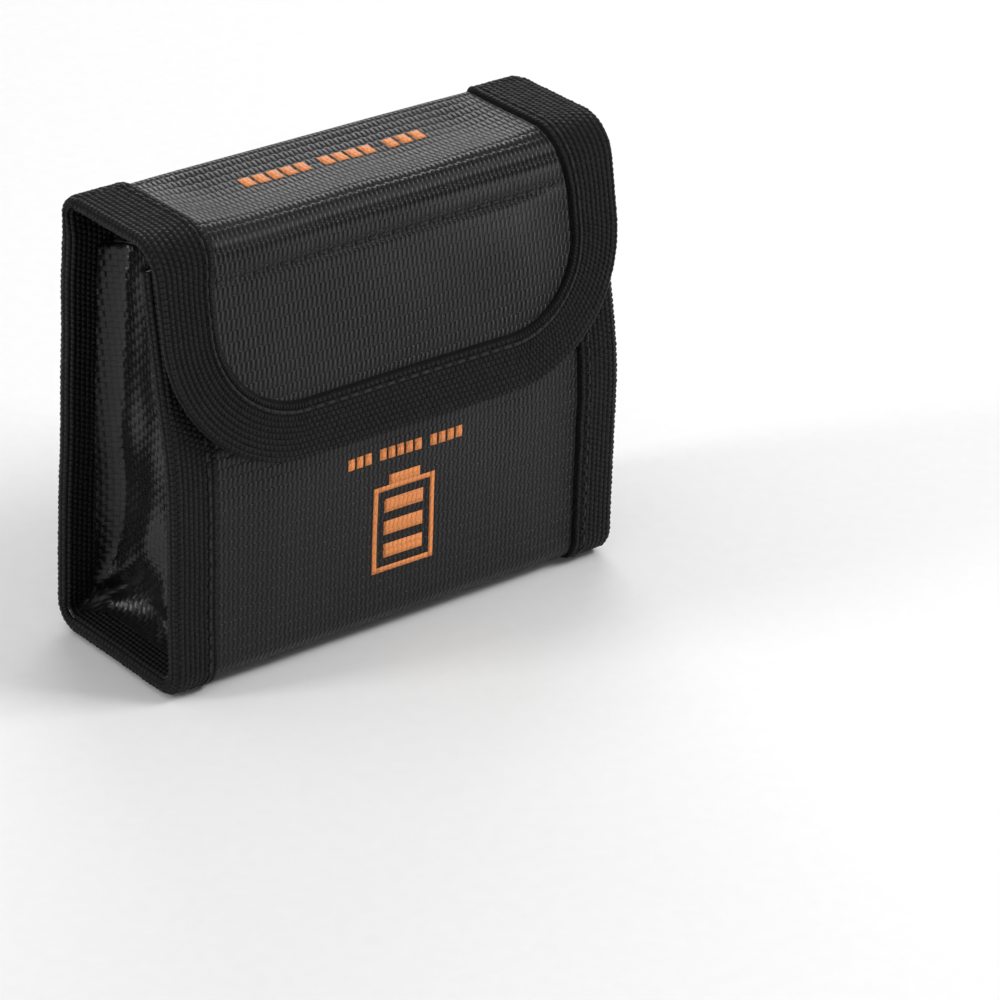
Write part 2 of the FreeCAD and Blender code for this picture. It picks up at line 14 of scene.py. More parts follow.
import bmesh
import bpy
import numpy as np
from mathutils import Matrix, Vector


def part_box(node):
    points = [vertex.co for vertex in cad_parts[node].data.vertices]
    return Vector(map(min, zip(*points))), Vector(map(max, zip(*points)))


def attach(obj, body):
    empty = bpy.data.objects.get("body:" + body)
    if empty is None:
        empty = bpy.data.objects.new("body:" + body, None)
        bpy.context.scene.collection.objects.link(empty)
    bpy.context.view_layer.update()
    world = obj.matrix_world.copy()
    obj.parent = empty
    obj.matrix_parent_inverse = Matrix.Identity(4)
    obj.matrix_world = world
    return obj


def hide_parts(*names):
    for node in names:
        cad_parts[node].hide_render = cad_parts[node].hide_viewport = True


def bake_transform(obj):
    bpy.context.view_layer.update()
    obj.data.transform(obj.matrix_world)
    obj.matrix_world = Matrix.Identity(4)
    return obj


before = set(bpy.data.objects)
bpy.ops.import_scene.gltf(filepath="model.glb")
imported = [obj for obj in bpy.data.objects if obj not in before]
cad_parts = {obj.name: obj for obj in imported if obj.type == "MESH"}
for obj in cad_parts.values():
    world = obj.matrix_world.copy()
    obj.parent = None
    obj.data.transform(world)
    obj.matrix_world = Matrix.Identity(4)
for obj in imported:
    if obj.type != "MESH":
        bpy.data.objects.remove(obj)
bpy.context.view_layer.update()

MM = 0.001
SEED = 7
LINT_COLOUR = (0.16, 0.16, 0.16, 1)
LINT_SCALE = 2600.0
FUZZ_SCALE = 3200.0
GAP_DULLING = 0.25
CLOUD_SPAN = (0.3, 0.7)
KNOT_DICE = (12.99, 78.23, 437.58)
KNOT_LEAST = 0.65
log = logging.getLogger("case")

Array = np.ndarray
Place = Callable[[Array, Array, Array], Array]


def smooth(t: Array) -> Array:
    """Smoothstep of a value clipped to 0..1."""
    t = np.clip(t, 0.0, 1.0)
    return t * t * (3 - 2 * t)


def ripple(u: Array, v: Array, length: float, seed: int = SEED) -> Array:
    """Gentle unevenness of limp cloth: a sum of waves in mixed directions, within -1..1.

    Args:
        u: places across the cloth.
        v: places along the cloth.
        length: typical length of a wave.
        seed: chooses the waves.

    Returns:
        The height at each place.
    """
    dice = np.random.default_rng(seed)
    total = np.zeros(np.broadcast(u, v).shape)
    waves = 9
    for _ in range(waves):
        angle, phase = dice.uniform(0, math.tau, 2)
        rate = math.tau / (length * dice.uniform(0.6, 1.7))
        total += np.sin((u * math.cos(angle) + v * math.sin(angle)) * rate + phase)
    return total / waves * 1.6


def plain_weave(along: Array, across: Array, pitch: float) -> Array:
    """Height 0..1 of coarse yarn, its knots uneven and staggered from row to row.

    Args:
        along: places along the band.
        across: places across the band.
        pitch: distance between knots.

    Returns:
        The height at each place.
    """
    row = np.floor(across / pitch + 1e-6)
    turns = along / pitch + 0.5 * np.mod(row, 2)
    knot = np.abs(np.sin(np.pi * turns))
    cord = np.abs(np.sin(np.pi * across / pitch))
    rows, knots, spread = KNOT_DICE
    dice = np.abs(np.sin(row * rows + np.floor(turns + 1e-6) * knots)) * spread
    return np.sqrt(knot * cord) * (KNOT_LEAST + (1 - KNOT_LEAST) * np.modf(dice)[0])


# Meshes ---------------------------------------------------------------------------------------


def quads(index: Array, flip: bool = False) -> list[list[int]]:
    """Faces between the neighbours of a grid of vertex numbers.

    Args:
        index: the grid.
        flip: whether to turn the faces over.

    Returns:
        Four vertex numbers for each face.
    """
    corners = [index[:-1, :-1], index[1:, :-1], index[1:, 1:], index[:-1, 1:]]
    if flip:
        corners.reverse()
    return np.stack(corners, axis=-1).reshape(-1, 4).tolist()


def make_piece(name: str, points: Array, faces: list[list[int]], uv: Array,
               material: bpy.types.Material) -> bpy.types.Object:
    """A mesh object with a UV map in metres, smooth faces that point outwards, and one material.

    Args:
        name: the piece's name.
        points: its vertices, one row each.
        faces: vertex numbers of each face.
        uv: the flat place of each vertex.
        material: its finish.

    Returns:
        The object, linked to the scene.
    """
    mesh = bpy.data.meshes.new(name)
    mesh.from_pydata(points.tolist(), [], faces)
    layer = mesh.uv_layers.new(name="UVMap")
    corner = np.empty(len(mesh.loops), dtype=np.int32)
    mesh.loops.foreach_get("vertex_index", corner)
    layer.data.foreach_set("uv", uv[corner].astype(np.float32).ravel())
    work = bmesh.new()
    work.from_mesh(mesh)
    bmesh.ops.recalc_face_normals(work, faces=work.faces)
    work.to_mesh(mesh)
    work.free()
    mesh.polygons.foreach_set("use_smooth", [True] * len(mesh.polygons))
    mesh.materials.append(material)
    piece = bpy.data.objects.new(name, mesh)
    bpy.context.scene.collection.objects.link(piece)
    return piece


def closed_shell(name: str, outer: Array, inner: Array, outer_uv: Array, inner_uv: Array,
                 material: bpy.types.Material) -> bpy.types.Object:
    """A thin closed piece between two grids of points that have the same number of rows.

    Args:
        name: the piece's name.
        outer: grid of points on its outside, rows by columns by 3.
        inner: grid on its inside, which may have fewer columns.
        outer_uv: flat places of the outside's points.
        inner_uv: flat places of the inside's points.
        material: its finish.

    Returns:
        The object.
    """
    rows, columns = outer.shape[:2]
    over = np.arange(rows * columns).reshape(rows, columns)
    under = rows * columns + np.arange(rows * inner.shape[1]).reshape(rows, inner.shape[1])
    faces = quads(over) + quads(under, flip=True)
    for side in (0, -1):
        faces += quads(np.stack([over[:, side], under[:, side]], axis=1), flip=side == 0)
    for end in (0, -1):
        if over.shape == under.shape:
            faces += quads(np.stack([over[end], under[end]], axis=1), flip=end != 0)
        else:
            faces.append(over[end].tolist() + under[end][::-1].tolist())
    points = np.concatenate([outer.reshape(-1, 3), inner.reshape(-1, 3)])
    uv = np.concatenate([outer_uv.reshape(-1, 2), inner_uv.reshape(-1, 2)])
    return make_piece(name, points, faces, uv, material)


def cloth_sheet(name: str, place: Place, u: Array, v: Array, face: float, thickness: float,
                material: bpy.types.Material) -> bpy.types.Object:
    """A sheet laid out flat on a grid and carried to its place.

    Args:
        name: the piece's name.
        place: maps flat places and a height over the cloth's face to points.
        u: grid of places across.
        v: grid of places along.
        face: height of the sheet's outer face.
        thickness: how thick it is, inwards.
        material: its finish.

    Returns:
        The object.
    """
    uv = np.stack([u, v], axis=-1)
    outer = place(u, v, np.full(u.shape, face))
    inner = place(u, v, np.full(u.shape, face - thickness))
    return closed_shell(name, outer, inner, uv, uv, material)


@dataclass
class Ribbon:
    """A band folded over a cloth edge: outer leaf, rounded edge and inner leaf.

    edge and inward are flat paths of the same length; inward is the way from the edge into the
    cloth, for one metre of width. centre and half are the middle and half the thickness of what
    the band wraps, its own cloth included.
    """

    edge: Array
    inward: Array
    width: float
    centre: Array
    half: Array
    leaf: float
    pitch: float
    relief: float
    steps: int = 4

    def section(self, half: float, step: float) -> tuple[Array, Array, Array, Array, Array]:
        """Places along the band's cross-section, from the outer leaf's edge to the inner's.

        Args:
            half: half the band's thickness.
            step: distance between places.

        Returns:
            Distance in from the edge, height, the two parts of the normal, and the arc length.
        """
        flat = self.width - half
        total = 2 * flat + math.pi * half
        q = np.linspace(0.0, total, max(9, int(round(total / step)) + 1))
        turn = np.clip((q - flat) / half, 0.0, math.pi)
        distance = np.where(q < flat, self.width - q, np.where(
            q > total - flat, q - total + self.width, half * (1 - np.sin(turn))))
        return distance, half * np.cos(turn), -np.sin(turn), np.cos(turn), q

    def lay(self, place: Place, step: float, raised: float, depth: float) -> tuple[Array, Array]:
        """Points of one face of the band.

        Args:
            place: the surface that the band is on.
            step: distance between places across the band.
            raised: height of the weave, 0 for a plain face.
            depth: how far the face lies under the band's outside.

        Returns:
            The grid of points and their flat places.
        """
        run = np.concatenate([[0.0], np.cumsum(np.linalg.norm(np.diff(self.edge, axis=0), axis=1))])
        distance, height, out_w, out_b, q = self.section(float(self.half.mean()) - depth, step)
        along, across = np.meshgrid(run, q, indexing="ij")
        lift = raised * plain_weave(along, across, self.pitch) if raised else 0 * along
        scale = (self.half[:, None] - depth) / (float(self.half.mean()) - depth)
        inset = distance[None] + out_w[None] * lift + depth
        level = self.centre[:, None] + height[None] * scale + out_b[None] * lift
        u = self.edge[:, :1] + self.inward[:, :1] * inset
        v = self.edge[:, 1:] + self.inward[:, 1:] * inset
        return place(u, v, level), np.stack([across, along], axis=-1)

    def build(self, name: str, place: Place, material: bpy.types.Material) -> bpy.types.Object:
        """The band as one closed piece.

        Args:
            name: the piece's name.
            place: the surface that the band is on.
            material: its finish.

        Returns:
            The object.
        """
        outer, outer_uv = self.lay(place, self.pitch / self.steps, self.relief, 0.0)
        inner, inner_uv = self.lay(place, self.width / 3, 0.0, self.leaf)
        return closed_shell(name, outer, inner, outer_uv, inner_uv, material)


# Shader groups and finishes -------------------------------------------------------------------


class Tree:
    """Short ways to add and join nodes in one node tree."""

    def __init__(self, tree: bpy.types.NodeTree) -> None:
        """Keep the tree to work on."""
        self.tree = tree

    def add(self, kind: str, **settings: object) -> bpy.types.Node:
        """A node of that kind, with the given settings of its own.

        Args:
            kind: the node's type.
            **settings: properties to set on it.

        Returns:
            The node.
        """
        node = self.tree.nodes.new(kind)
        for key, setting in settings.items():
            setattr(node, key, setting)
        return node

    def join(self, source: bpy.types.NodeSocket, target: bpy.types.NodeSocket) -> None:
        """A link from one socket to another."""
        self.tree.links.new(source, target)

    def maths(self, operation: str, *terms: object) -> bpy.types.NodeSocket:
        """A Math node over sockets and numbers.

        Args:
            operation: what it does.
            *terms: its inputs in order, sockets or numbers.

        Returns:
            The socket with the result.
        """
        node = self.add("ShaderNodeMath", operation=operation)
        for socket, term in zip(node.inputs, terms):
            if isinstance(term, (int, float)):
                socket.default_value = term
            else:
                self.join(term, socket)
        return node.outputs[0]

    def mix(self, amount: object, first: object, second: object) -> bpy.types.NodeSocket:
        """A colour between two, each a socket or a plain colour.

        Args:
            amount: share of the second, a socket or a number.
            first: the colour at 0.
            second: the colour at 1.

        Returns:
            The socket with the colour.
        """
        node = self.add("ShaderNodeMix", data_type="RGBA")
        for socket, term in zip((node.inputs[0], node.inputs[6], node.inputs[7]),
                                (amount, first, second)):
            if isinstance(term, bpy.types.NodeSocket):
                self.join(term, socket)
            else:
                socket.default_value = term
        return node.outputs[2]


def new_group(name: str, inputs: dict[str, float | None], outputs: list[str]) -> Tree:
    """A shader group with vector and float inputs, and float outputs.

    Args:
        name: the group's name.
        inputs: names and defaults of the inputs; None makes a vector.
        outputs: names of the outputs.

    Returns:
        The tree, with its Group Input and Group Output nodes named "in" and "out".
    """
    tree = bpy.data.node_groups.new(name, "ShaderNodeTree")
    for key, default in inputs.items():
        kind = "NodeSocketVector" if default is None else "NodeSocketFloat"
        socket = tree.interface.new_socket(name=key, in_out="INPUT", socket_type=kind)
        if default is not None:
            socket.default_value = default
    for key in outputs:
        tree.interface.new_socket(name=key, in_out="OUTPUT", socket_type="NodeSocketFloat")
    tree.nodes.new("NodeGroupInput").name = "in"
    tree.nodes.new("NodeGroupOutput").name = "out"
    return Tree(tree)


def basket_group() -> bpy.types.NodeTree:
    """Plain basket weave on a flat vector in metres: rounded yarns over and under each other.

    Returns:
        The group's tree.
    """
    made = new_group("basket_weave", {"Vector": None, "Pitch": 0.001}, ["Height", "Gap"])
    inside, out = made.tree.nodes["in"], made.tree.nodes["out"]
    parts = made.add("ShaderNodeSeparateXYZ")
    made.join(inside.outputs["Vector"], parts.inputs[0])
    waves = []
    for axis in (0, 1):
        turns = made.maths("DIVIDE", parts.outputs[axis], inside.outputs["Pitch"])
        waves.append(made.maths("SINE", made.maths("MULTIPLY", turns, math.pi)))
    over = made.maths("GREATER_THAN", made.maths("MULTIPLY", *waves), 0.0)
    first, second = (made.maths("ABSOLUTE", wave) for wave in waves)
    tall = made.maths("MULTIPLY", first, over)
    cross = made.maths("MULTIPLY", second, made.maths("SUBTRACT", 1.0, over))
    height = made.maths("ADD", tall, cross)
    made.join(height, out.inputs["Height"])
    # Gap marks the hollows between yarns: finishes darken the colour there as painted shade, and dull
    # the gloss.
    gap = made.maths("SUBTRACT", 1.0, made.maths("MULTIPLY", height, 2.2))
    made.join(made.maths("MAXIMUM", gap, 0.0), out.inputs["Gap"])
    return made.tree


def rib_group() -> bpy.types.NodeTree:
    """Fine upright ribs broken into staggered cells, on a flat vector in metres.

    Returns:
        The group's tree.
    """
    sizes = {"Vector": None, "Pitch": 0.0012, "Cell": 0.0026, "Sway": 0.0, "Stagger": 0.5}
    made = new_group("ribs", sizes, ["Height", "Gap"])
    inside, out = made.tree.nodes["in"], made.tree.nodes["out"]
    parts = made.add("ShaderNodeSeparateXYZ")
    made.join(inside.outputs["Vector"], parts.inputs[0])
    cells = made.maths("DIVIDE", parts.outputs[1], inside.outputs["Cell"])
    sway = made.maths("MULTIPLY", made.maths("FRACT", cells), inside.outputs["Sway"])
    rows = made.maths("DIVIDE", parts.outputs[0], inside.outputs["Pitch"])
    rows = made.maths("ADD", rows, sway)
    odd = made.maths("FLOORED_MODULO", made.maths("FLOOR", rows), 2.0)
    odd = made.maths("MULTIPLY", odd, inside.outputs["Stagger"])
    rib = made.maths("ABSOLUTE", made.maths("SINE", made.maths("MULTIPLY", rows, math.pi)))
    cell = made.maths("SINE", made.maths("MULTIPLY", made.maths("ADD", cells, odd), math.pi))
    cell = made.maths("POWER", made.maths("ABSOLUTE", cell), 0.35)
    height = made.maths("MULTIPLY", made.maths("POWER", rib, 0.6), cell)
    made.join(height, out.inputs["Height"])
    # Gap marks the hollows between ribs: finishes darken the colour there as painted shade, and dull
    # the gloss.
    gap = made.maths("SUBTRACT", 1.0, made.maths("MULTIPLY", height, 2.0))
    made.join(made.maths("MAXIMUM", gap, 0.0), out.inputs["Gap"])
    return made.tree


def handling_group() -> bpy.types.NodeTree:
    """Soft cloudy unevenness and fine specks of lint on Object coordinates.

    Returns:
        The group's tree.
    """
    made = new_group("handling", {"Cloud": 40.0, "Lint": 0.62}, ["Cloud", "Lint"])
    inside, out = made.tree.nodes["in"], made.tree.nodes["out"]
    where = made.add("ShaderNodeTexCoord")
    cloud = made.add("ShaderNodeTexNoise")
    made.join(where.outputs["Object"], cloud.inputs["Vector"])
    made.join(inside.outputs["Cloud"], cloud.inputs["Scale"])
    cloud.inputs["Detail"].default_value = 4.0
    made.join(cloud.outputs["Fac"], out.inputs["Cloud"])
    lint = made.add("ShaderNodeTexNoise")
    made.join(where.outputs["Object"], lint.inputs["Vector"])
    lint.inputs["Scale"].default_value = LINT_SCALE
    lint.inputs["Detail"].default_value = 1.0
    specks = made.maths("SUBTRACT", lint.outputs["Fac"], inside.outputs["Lint"])
    specks = made.maths("MULTIPLY", made.maths("MAXIMUM", specks, 0.0), 6.0)
    made.join(made.maths("MINIMUM", specks, 1.0), out.inputs["Lint"])
    return made.tree


class Pattern(Enum):
    """Surface patterns that a finish can have."""

    RIBS = "ribs"
    BASKET = "basket_weave"


GROUPS: dict[str, bpy.types.NodeTree] = {}


def shared_groups() -> None:
    """Build the shader groups that the finishes share."""
    for tree in (basket_group(), rib_group(), handling_group()):
        GROUPS[tree.name] = tree


@dataclass(frozen=True)
class ClothFinish:
    """A woven or ribbed finish: colours of yarn and gaps, gloss, pattern and depth; the darker gap
    colour is painted shade in the hollows between yarns.
    """

    name: str
    yarn: tuple[float, float, float]
    gap: tuple[float, float, float]
    rough: tuple[float, float]
    pattern: Pattern
    pitch: float
    depth: float
    cell: float = 2.6 * MM
    sway: float = 0.0
    stagger: float = 0.5
    sheen: float = 0.0
    coat: float = 0.0
    metal: float = 0.0
    specular: float = 0.5
    cloud: float = 45.0
    lint: float = 0.745
    fuzz: float = 0.0

    def make(self) -> bpy.types.Material:
        """Build the material.

        Returns:
            A node material that reads the piece's UV map, in metres.
        """
        material = bpy.data.materials.new(self.name)
        material.use_nodes = True
        made = Tree(material.node_tree)
        shader = material.node_tree.nodes["Principled BSDF"]
        shader.inputs["Sheen Weight"].default_value = self.sheen
        shader.inputs["Sheen Roughness"].default_value = 0.5
        shader.inputs["Coat Weight"].default_value = self.coat
        shader.inputs["Coat Roughness"].default_value = 0.22
        shader.inputs["Metallic"].default_value = self.metal
        shader.inputs["Specular IOR Level"].default_value = self.specular
        flat = made.add("ShaderNodeUVMap", uv_map="UVMap")
        weave = made.add("ShaderNodeGroup")
        weave.node_tree = GROUPS[self.pattern.value]
        made.join(flat.outputs[0], weave.inputs["Vector"])
        weave.inputs["Pitch"].default_value = self.pitch
        if self.pattern is Pattern.RIBS:
            weave.inputs["Cell"].default_value = self.cell
            weave.inputs["Sway"].default_value = self.sway
            weave.inputs["Stagger"].default_value = self.stagger
        hand = made.add("ShaderNodeGroup")
        hand.node_tree = GROUPS["handling"]
        hand.inputs["Cloud"].default_value = self.cloud
        hand.inputs["Lint"].default_value = self.lint
        light = tuple(min(1.0, 1.25 * part + 0.004) for part in self.yarn)
        shade = tuple(0.72 * part for part in self.yarn)
        cloudy = made.mix(hand.outputs["Cloud"], (*shade, 1), (*light, 1))
        # Darker colour in the gaps between yarns: painted shade of the weave's hollows.
        woven = made.mix(weave.outputs["Gap"], cloudy, (*self.gap, 1))
        speck = made.mix(hand.outputs["Lint"], woven, LINT_COLOUR)
        made.join(speck, shader.inputs["Base Color"])
        spread = made.add("ShaderNodeMapRange")
        made.join(hand.outputs["Cloud"], spread.inputs["Value"])
        ends = (*CLOUD_SPAN, *self.rough)
        for key, end in zip(("From Min", "From Max", "To Min", "To Max"), ends):
            spread.inputs[key].default_value = end
        dull = made.maths("MULTIPLY", weave.outputs["Gap"], GAP_DULLING)
        made.join(made.maths("ADD", spread.outputs[0], dull), shader.inputs["Roughness"])
        bump = made.add("ShaderNodeBump")
        bump.inputs["Distance"].default_value = self.depth
        height = weave.outputs["Height"]
        if self.fuzz:
            grain = made.add("ShaderNodeTexNoise")
            grain.inputs["Scale"].default_value = FUZZ_SCALE
            where = made.add("ShaderNodeTexCoord")
            made.join(where.outputs["Object"], grain.inputs["Vector"])
            height = made.maths("ADD", height, made.maths("MULTIPLY", grain.outputs["Fac"], self.fuzz))
        made.join(height, bump.inputs["Height"])
        made.join(bump.outputs[0], shader.inputs["Normal"])
        return material


@dataclass(frozen=True)
class Finishes:
    """The finishes that the case is made of, one for each material slot of the record."""

    # Each gap colour is painted shade: a darker yarn colour laid into the hollows between yarns.
    ribbed_cloth: ClothFinish = ClothFinish(
        name="ribbed_cloth", yarn=(0.0035, 0.0035, 0.004), gap=(0.0008, 0.0008, 0.0008),
        rough=(0.3, 0.44), pattern=Pattern.RIBS, pitch=1.1 * MM, depth=0.3 * MM,
        cell=2.2 * MM, sway=0.35, stagger=0.12, coat=0.04, specular=0.25)
    gusset_cloth: ClothFinish = ClothFinish(
        name="gusset_cloth", yarn=(0.0035, 0.0035, 0.004), gap=(0.001, 0.001, 0.001),
        rough=(0.2, 0.34), pattern=Pattern.BASKET, pitch=1.2 * MM, depth=0.06 * MM,
        coat=0.1, specular=0.33)
    webbing: ClothFinish = ClothFinish(
        name="webbing", yarn=(0.0025, 0.0025, 0.003), gap=(0.0003, 0.0003, 0.0003),
        rough=(0.48, 0.68), pattern=Pattern.RIBS, pitch=1.15 * MM, depth=0.36 * MM,
        cell=1.15 * MM, sheen=0.01, specular=0.2, fuzz=0.5)
    silver_lining: ClothFinish = ClothFinish(
        name="silver_lining", yarn=(0.72, 0.72, 0.73), gap=(0.3, 0.3, 0.31),
        rough=(0.42, 0.6), pattern=Pattern.BASKET, pitch=0.8 * MM, depth=0.12 * MM,
        metal=0.1, lint=0.9)
    divider_cloth: ClothFinish = ClothFinish(
        name="divider_cloth", yarn=(0.46, 0.46, 0.47), gap=(0.2, 0.2, 0.2),
        rough=(0.5, 0.65), pattern=Pattern.RIBS, pitch=1.0 * MM, depth=0.14 * MM,
        cell=1.8 * MM, lint=0.9)
    fastener_loop: ClothFinish = ClothFinish(
        name="fastener_loop", yarn=(0.009, 0.009, 0.009), gap=(0.003, 0.003, 0.003),
        rough=(0.85, 0.95), pattern=Pattern.BASKET, pitch=0.6 * MM, depth=0.15 * MM,
        sheen=0.15, specular=0.2, fuzz=1.4)
    fastener_hook: ClothFinish = ClothFinish(
        name="fastener_hook", yarn=(0.012, 0.012, 0.012), gap=(0.004, 0.004, 0.004),
        rough=(0.55, 0.7), pattern=Pattern.BASKET, pitch=0.7 * MM, depth=0.1 * MM,
        specular=0.3, fuzz=0.6)
    thread: ClothFinish = ClothFinish(
        name="thread", yarn=(0.0025, 0.0025, 0.003), gap=(0.0008, 0.0008, 0.0008),
        rough=(0.5, 0.65), pattern=Pattern.BASKET, pitch=0.16 * MM, depth=0.03 * MM,
        sheen=0.05, specular=0.35)
    print_ink: ClothFinish = ClothFinish(
        name="print_ink", yarn=(0.82, 0.26, 0.06), gap=(0.5, 0.14, 0.03),
        rough=(0.45, 0.6), pattern=Pattern.RIBS, pitch=1.1 * MM, depth=0.14 * MM,
        cell=2.2 * MM, sway=0.35, stagger=0.12, lint=0.85)

    def make(self) -> dict[str, bpy.types.Material]:
        """Every material, by its slot."""
        return {name: finish.make() for name, finish in vars(self).items()}


def finish_floor() -> bpy.types.Material:
    """A pale matt floor with the faintest grain.

    Returns:
        The material.
    """
    material = bpy.data.materials.new("pale_floor")
    material.use_nodes = True
    made = Tree(material.node_tree)
    shader = material.node_tree.nodes["Principled BSDF"]
    shader.inputs["Roughness"].default_value = 0.85
    where = made.add("ShaderNodeTexCoord")
    grain = made.add("ShaderNodeTexNoise")
    grain.inputs["Scale"].default_value = 300.0
    made.join(where.outputs["Object"], grain.inputs["Vector"])
    made.join(made.mix(grain.outputs["Fac"], (0.86, 0.86, 0.86, 1), (0.9, 0.9, 0.9, 1)),
              shader.inputs["Base Color"])
    return material


# Small repeated pieces ------------------------------------------------------------------------


class Bit(Enum):
    """Small shapes that Geometry Nodes repeat."""

    STITCH = "stitch"
    LOOP = "loop"
    HOOK = "hook"


@dataclass
class Bits:
    """A crowd of equal small pieces on given points, each turned to its own axes."""

    kind: Bit
    size: tuple[float, float, float]
    uneven: float = 0.1
    points: list[Array] = field(default_factory=list)
    along: list[Array] = field(default_factory=list)
    up: list[Array] = field(default_factory=list)

    def put(self, points: Array, along: Array, up: Array) -> None:
        """Add points with the directions that their pieces lie and stand in."""
        for store, rows in ((self.points, points), (self.along, along), (self.up, up)):
            store.append(np.broadcast_to(rows, points.shape).reshape(-1, 3))

    def shape(self, made: Tree) -> bpy.types.NodeSocket:
        """Nodes for one small piece of unit length, width and height.

        Args:
            made: the tree to add them to.

        Returns:
            The socket with its mesh.
        """
        if self.kind is Bit.STITCH:
            ball = made.add("GeometryNodeMeshUVSphere")
            ball.inputs["Segments"].default_value = 8
            ball.inputs["Rings"].default_value = 5
            ball.inputs["Radius"].default_value = 0.5
            return ball.outputs["Mesh"]
        bend = made.add("GeometryNodeCurveQuadraticBezier")
        bend.inputs["Resolution"].default_value = 5
        ends = {Bit.LOOP: ((-0.5, 0, -0.1), (0, 0, 1.9), (0.5, 0, -0.1)),
                Bit.HOOK: ((-0.3, 0, -0.1), (-0.1, 0, 1.9), (0.5, 0, 0.45))}[self.kind]
        for key, place in zip(("Start", "Middle", "End"), ends):
            bend.inputs[key].default_value = place
        ring = made.add("GeometryNodeCurvePrimitiveCircle")
        ring.inputs["Resolution"].default_value = 4
        ring.inputs["Radius"].default_value = 0.1
        tube = made.add("GeometryNodeCurveToMesh")
        made.join(bend.outputs[0], tube.inputs["Curve"])
        made.join(ring.outputs["Curve"], tube.inputs["Profile Curve"])
        tube.inputs["Fill Caps"].default_value = True
        return tube.outputs[0]

    def tree(self) -> bpy.types.NodeTree:
        """Geometry Nodes that stand one small piece on every point.

        Returns:
            A tree with inputs Size, Uneven, Seed and Finish.
        """
        group = bpy.data.node_groups.new(f"{self.kind.value}_rows", "GeometryNodeTree")
        face = group.interface
        face.new_socket(name="Geometry", in_out="INPUT", socket_type="NodeSocketGeometry")
        face.new_socket(name="Size", in_out="INPUT", socket_type="NodeSocketVector")
        face.new_socket(name="Uneven", in_out="INPUT", socket_type="NodeSocketFloat")
        face.new_socket(name="Seed", in_out="INPUT", socket_type="NodeSocketInt")
        face.new_socket(name="Finish", in_out="INPUT", socket_type="NodeSocketMaterial")
        face.new_socket(name="Geometry", in_out="OUTPUT", socket_type="NodeSocketGeometry")
        made = Tree(group)
        inside, out = made.add("NodeGroupInput"), made.add("NodeGroupOutput")
        axes = made.add("FunctionNodeAxesToRotation", primary_axis="Z", secondary_axis="X")
        for key, socket in (("up", axes.inputs[0]), ("along", axes.inputs[1])):
            named = made.add("GeometryNodeInputNamedAttribute", data_type="FLOAT_VECTOR")
            named.inputs["Name"].default_value = key
            made.join(named.outputs[0], socket)
        chance = made.add("FunctionNodeRandomValue", data_type="FLOAT")
        low = made.maths("SUBTRACT", 1.0, inside.outputs["Uneven"])
        high = made.maths("ADD", 1.0, inside.outputs["Uneven"])
        floats = [s for s in chance.inputs if s.type == "VALUE"]
        made.join(low, floats[0])
        made.join(high, floats[1])
        made.join(inside.outputs["Seed"], chance.inputs["Seed"])
        scale = made.add("ShaderNodeVectorMath", operation="SCALE")
        made.join(inside.outputs["Size"], scale.inputs[0])
        made.join([s for s in chance.outputs if s.type == "VALUE"][0], scale.inputs["Scale"])
        stand = made.add("GeometryNodeInstanceOnPoints")
        made.join(inside.outputs["Geometry"], stand.inputs["Points"])
        made.join(self.shape(made), stand.inputs["Instance"])
        made.join(axes.outputs[0], stand.inputs["Rotation"])
        made.join(scale.outputs[0], stand.inputs["Scale"])
        real = made.add("GeometryNodeRealizeInstances")
        made.join(stand.outputs[0], real.inputs[0])
        dress = made.add("GeometryNodeSetMaterial")
        made.join(real.outputs[0], dress.inputs["Geometry"])
        made.join(inside.outputs["Finish"], dress.inputs["Material"])
        made.join(dress.outputs[0], out.inputs[0])
        return group

    def build(self, name: str, material: bpy.types.Material) -> bpy.types.Object:
        """Run the tree and keep its result as one plain mesh.

        Args:
            name: the piece's name.
            material: its finish.

        Returns:
            The object.
        """
        mesh = bpy.data.meshes.new(f"{name}_points")
        mesh.from_pydata(np.concatenate(self.points).tolist(), [], [])
        for key, rows in (("along", self.along), ("up", self.up)):
            values = mesh.attributes.new(key, "FLOAT_VECTOR", "POINT")
            values.data.foreach_set("vector", np.concatenate(rows).astype(np.float32).ravel())
        seeds = bpy.data.objects.new(f"{name}_points", mesh)
        bpy.context.scene.collection.objects.link(seeds)
        modifier = seeds.modifiers.new("rows", "NODES")
        modifier.node_group = self.tree()
        sockets = {s.name: s.identifier for s in modifier.node_group.interface.items_tree
                   if s.in_out == "INPUT"}
        modifier[sockets["Size"]] = self.size
        modifier[sockets["Uneven"]] = self.uneven
        modifier[sockets["Seed"]] = SEED
        modifier[sockets["Finish"]] = material
        ready = seeds.evaluated_get(bpy.context.evaluated_depsgraph_get())
        solid = bpy.data.meshes.new_from_object(ready)
        bpy.data.objects.remove(seeds)
        solid.name = name
        if "UVMap" not in solid.uv_layers:
            solid.uv_layers.new(name="UVMap")
        corner = np.empty(len(solid.loops), dtype=np.int32)
        solid.loops.foreach_get("vertex_index", corner)
        where = np.empty(len(solid.vertices) * 3, dtype=np.float32)
        solid.vertices.foreach_get("co", where)
        where = where.reshape(-1, 3)
        flat = np.stack([where[:, 0] + where[:, 1], where[:, 2]], axis=-1)
        solid.uv_layers["UVMap"].data.foreach_set("uv", flat[corner].ravel())
        solid.polygons.foreach_set("use_smooth", [True] * len(solid.polygons))
        piece = bpy.data.objects.new(name, solid)
        bpy.context.scene.collection.objects.link(piece)
        return piece


# The strip of cloth ---------------------------------------------------------------------------


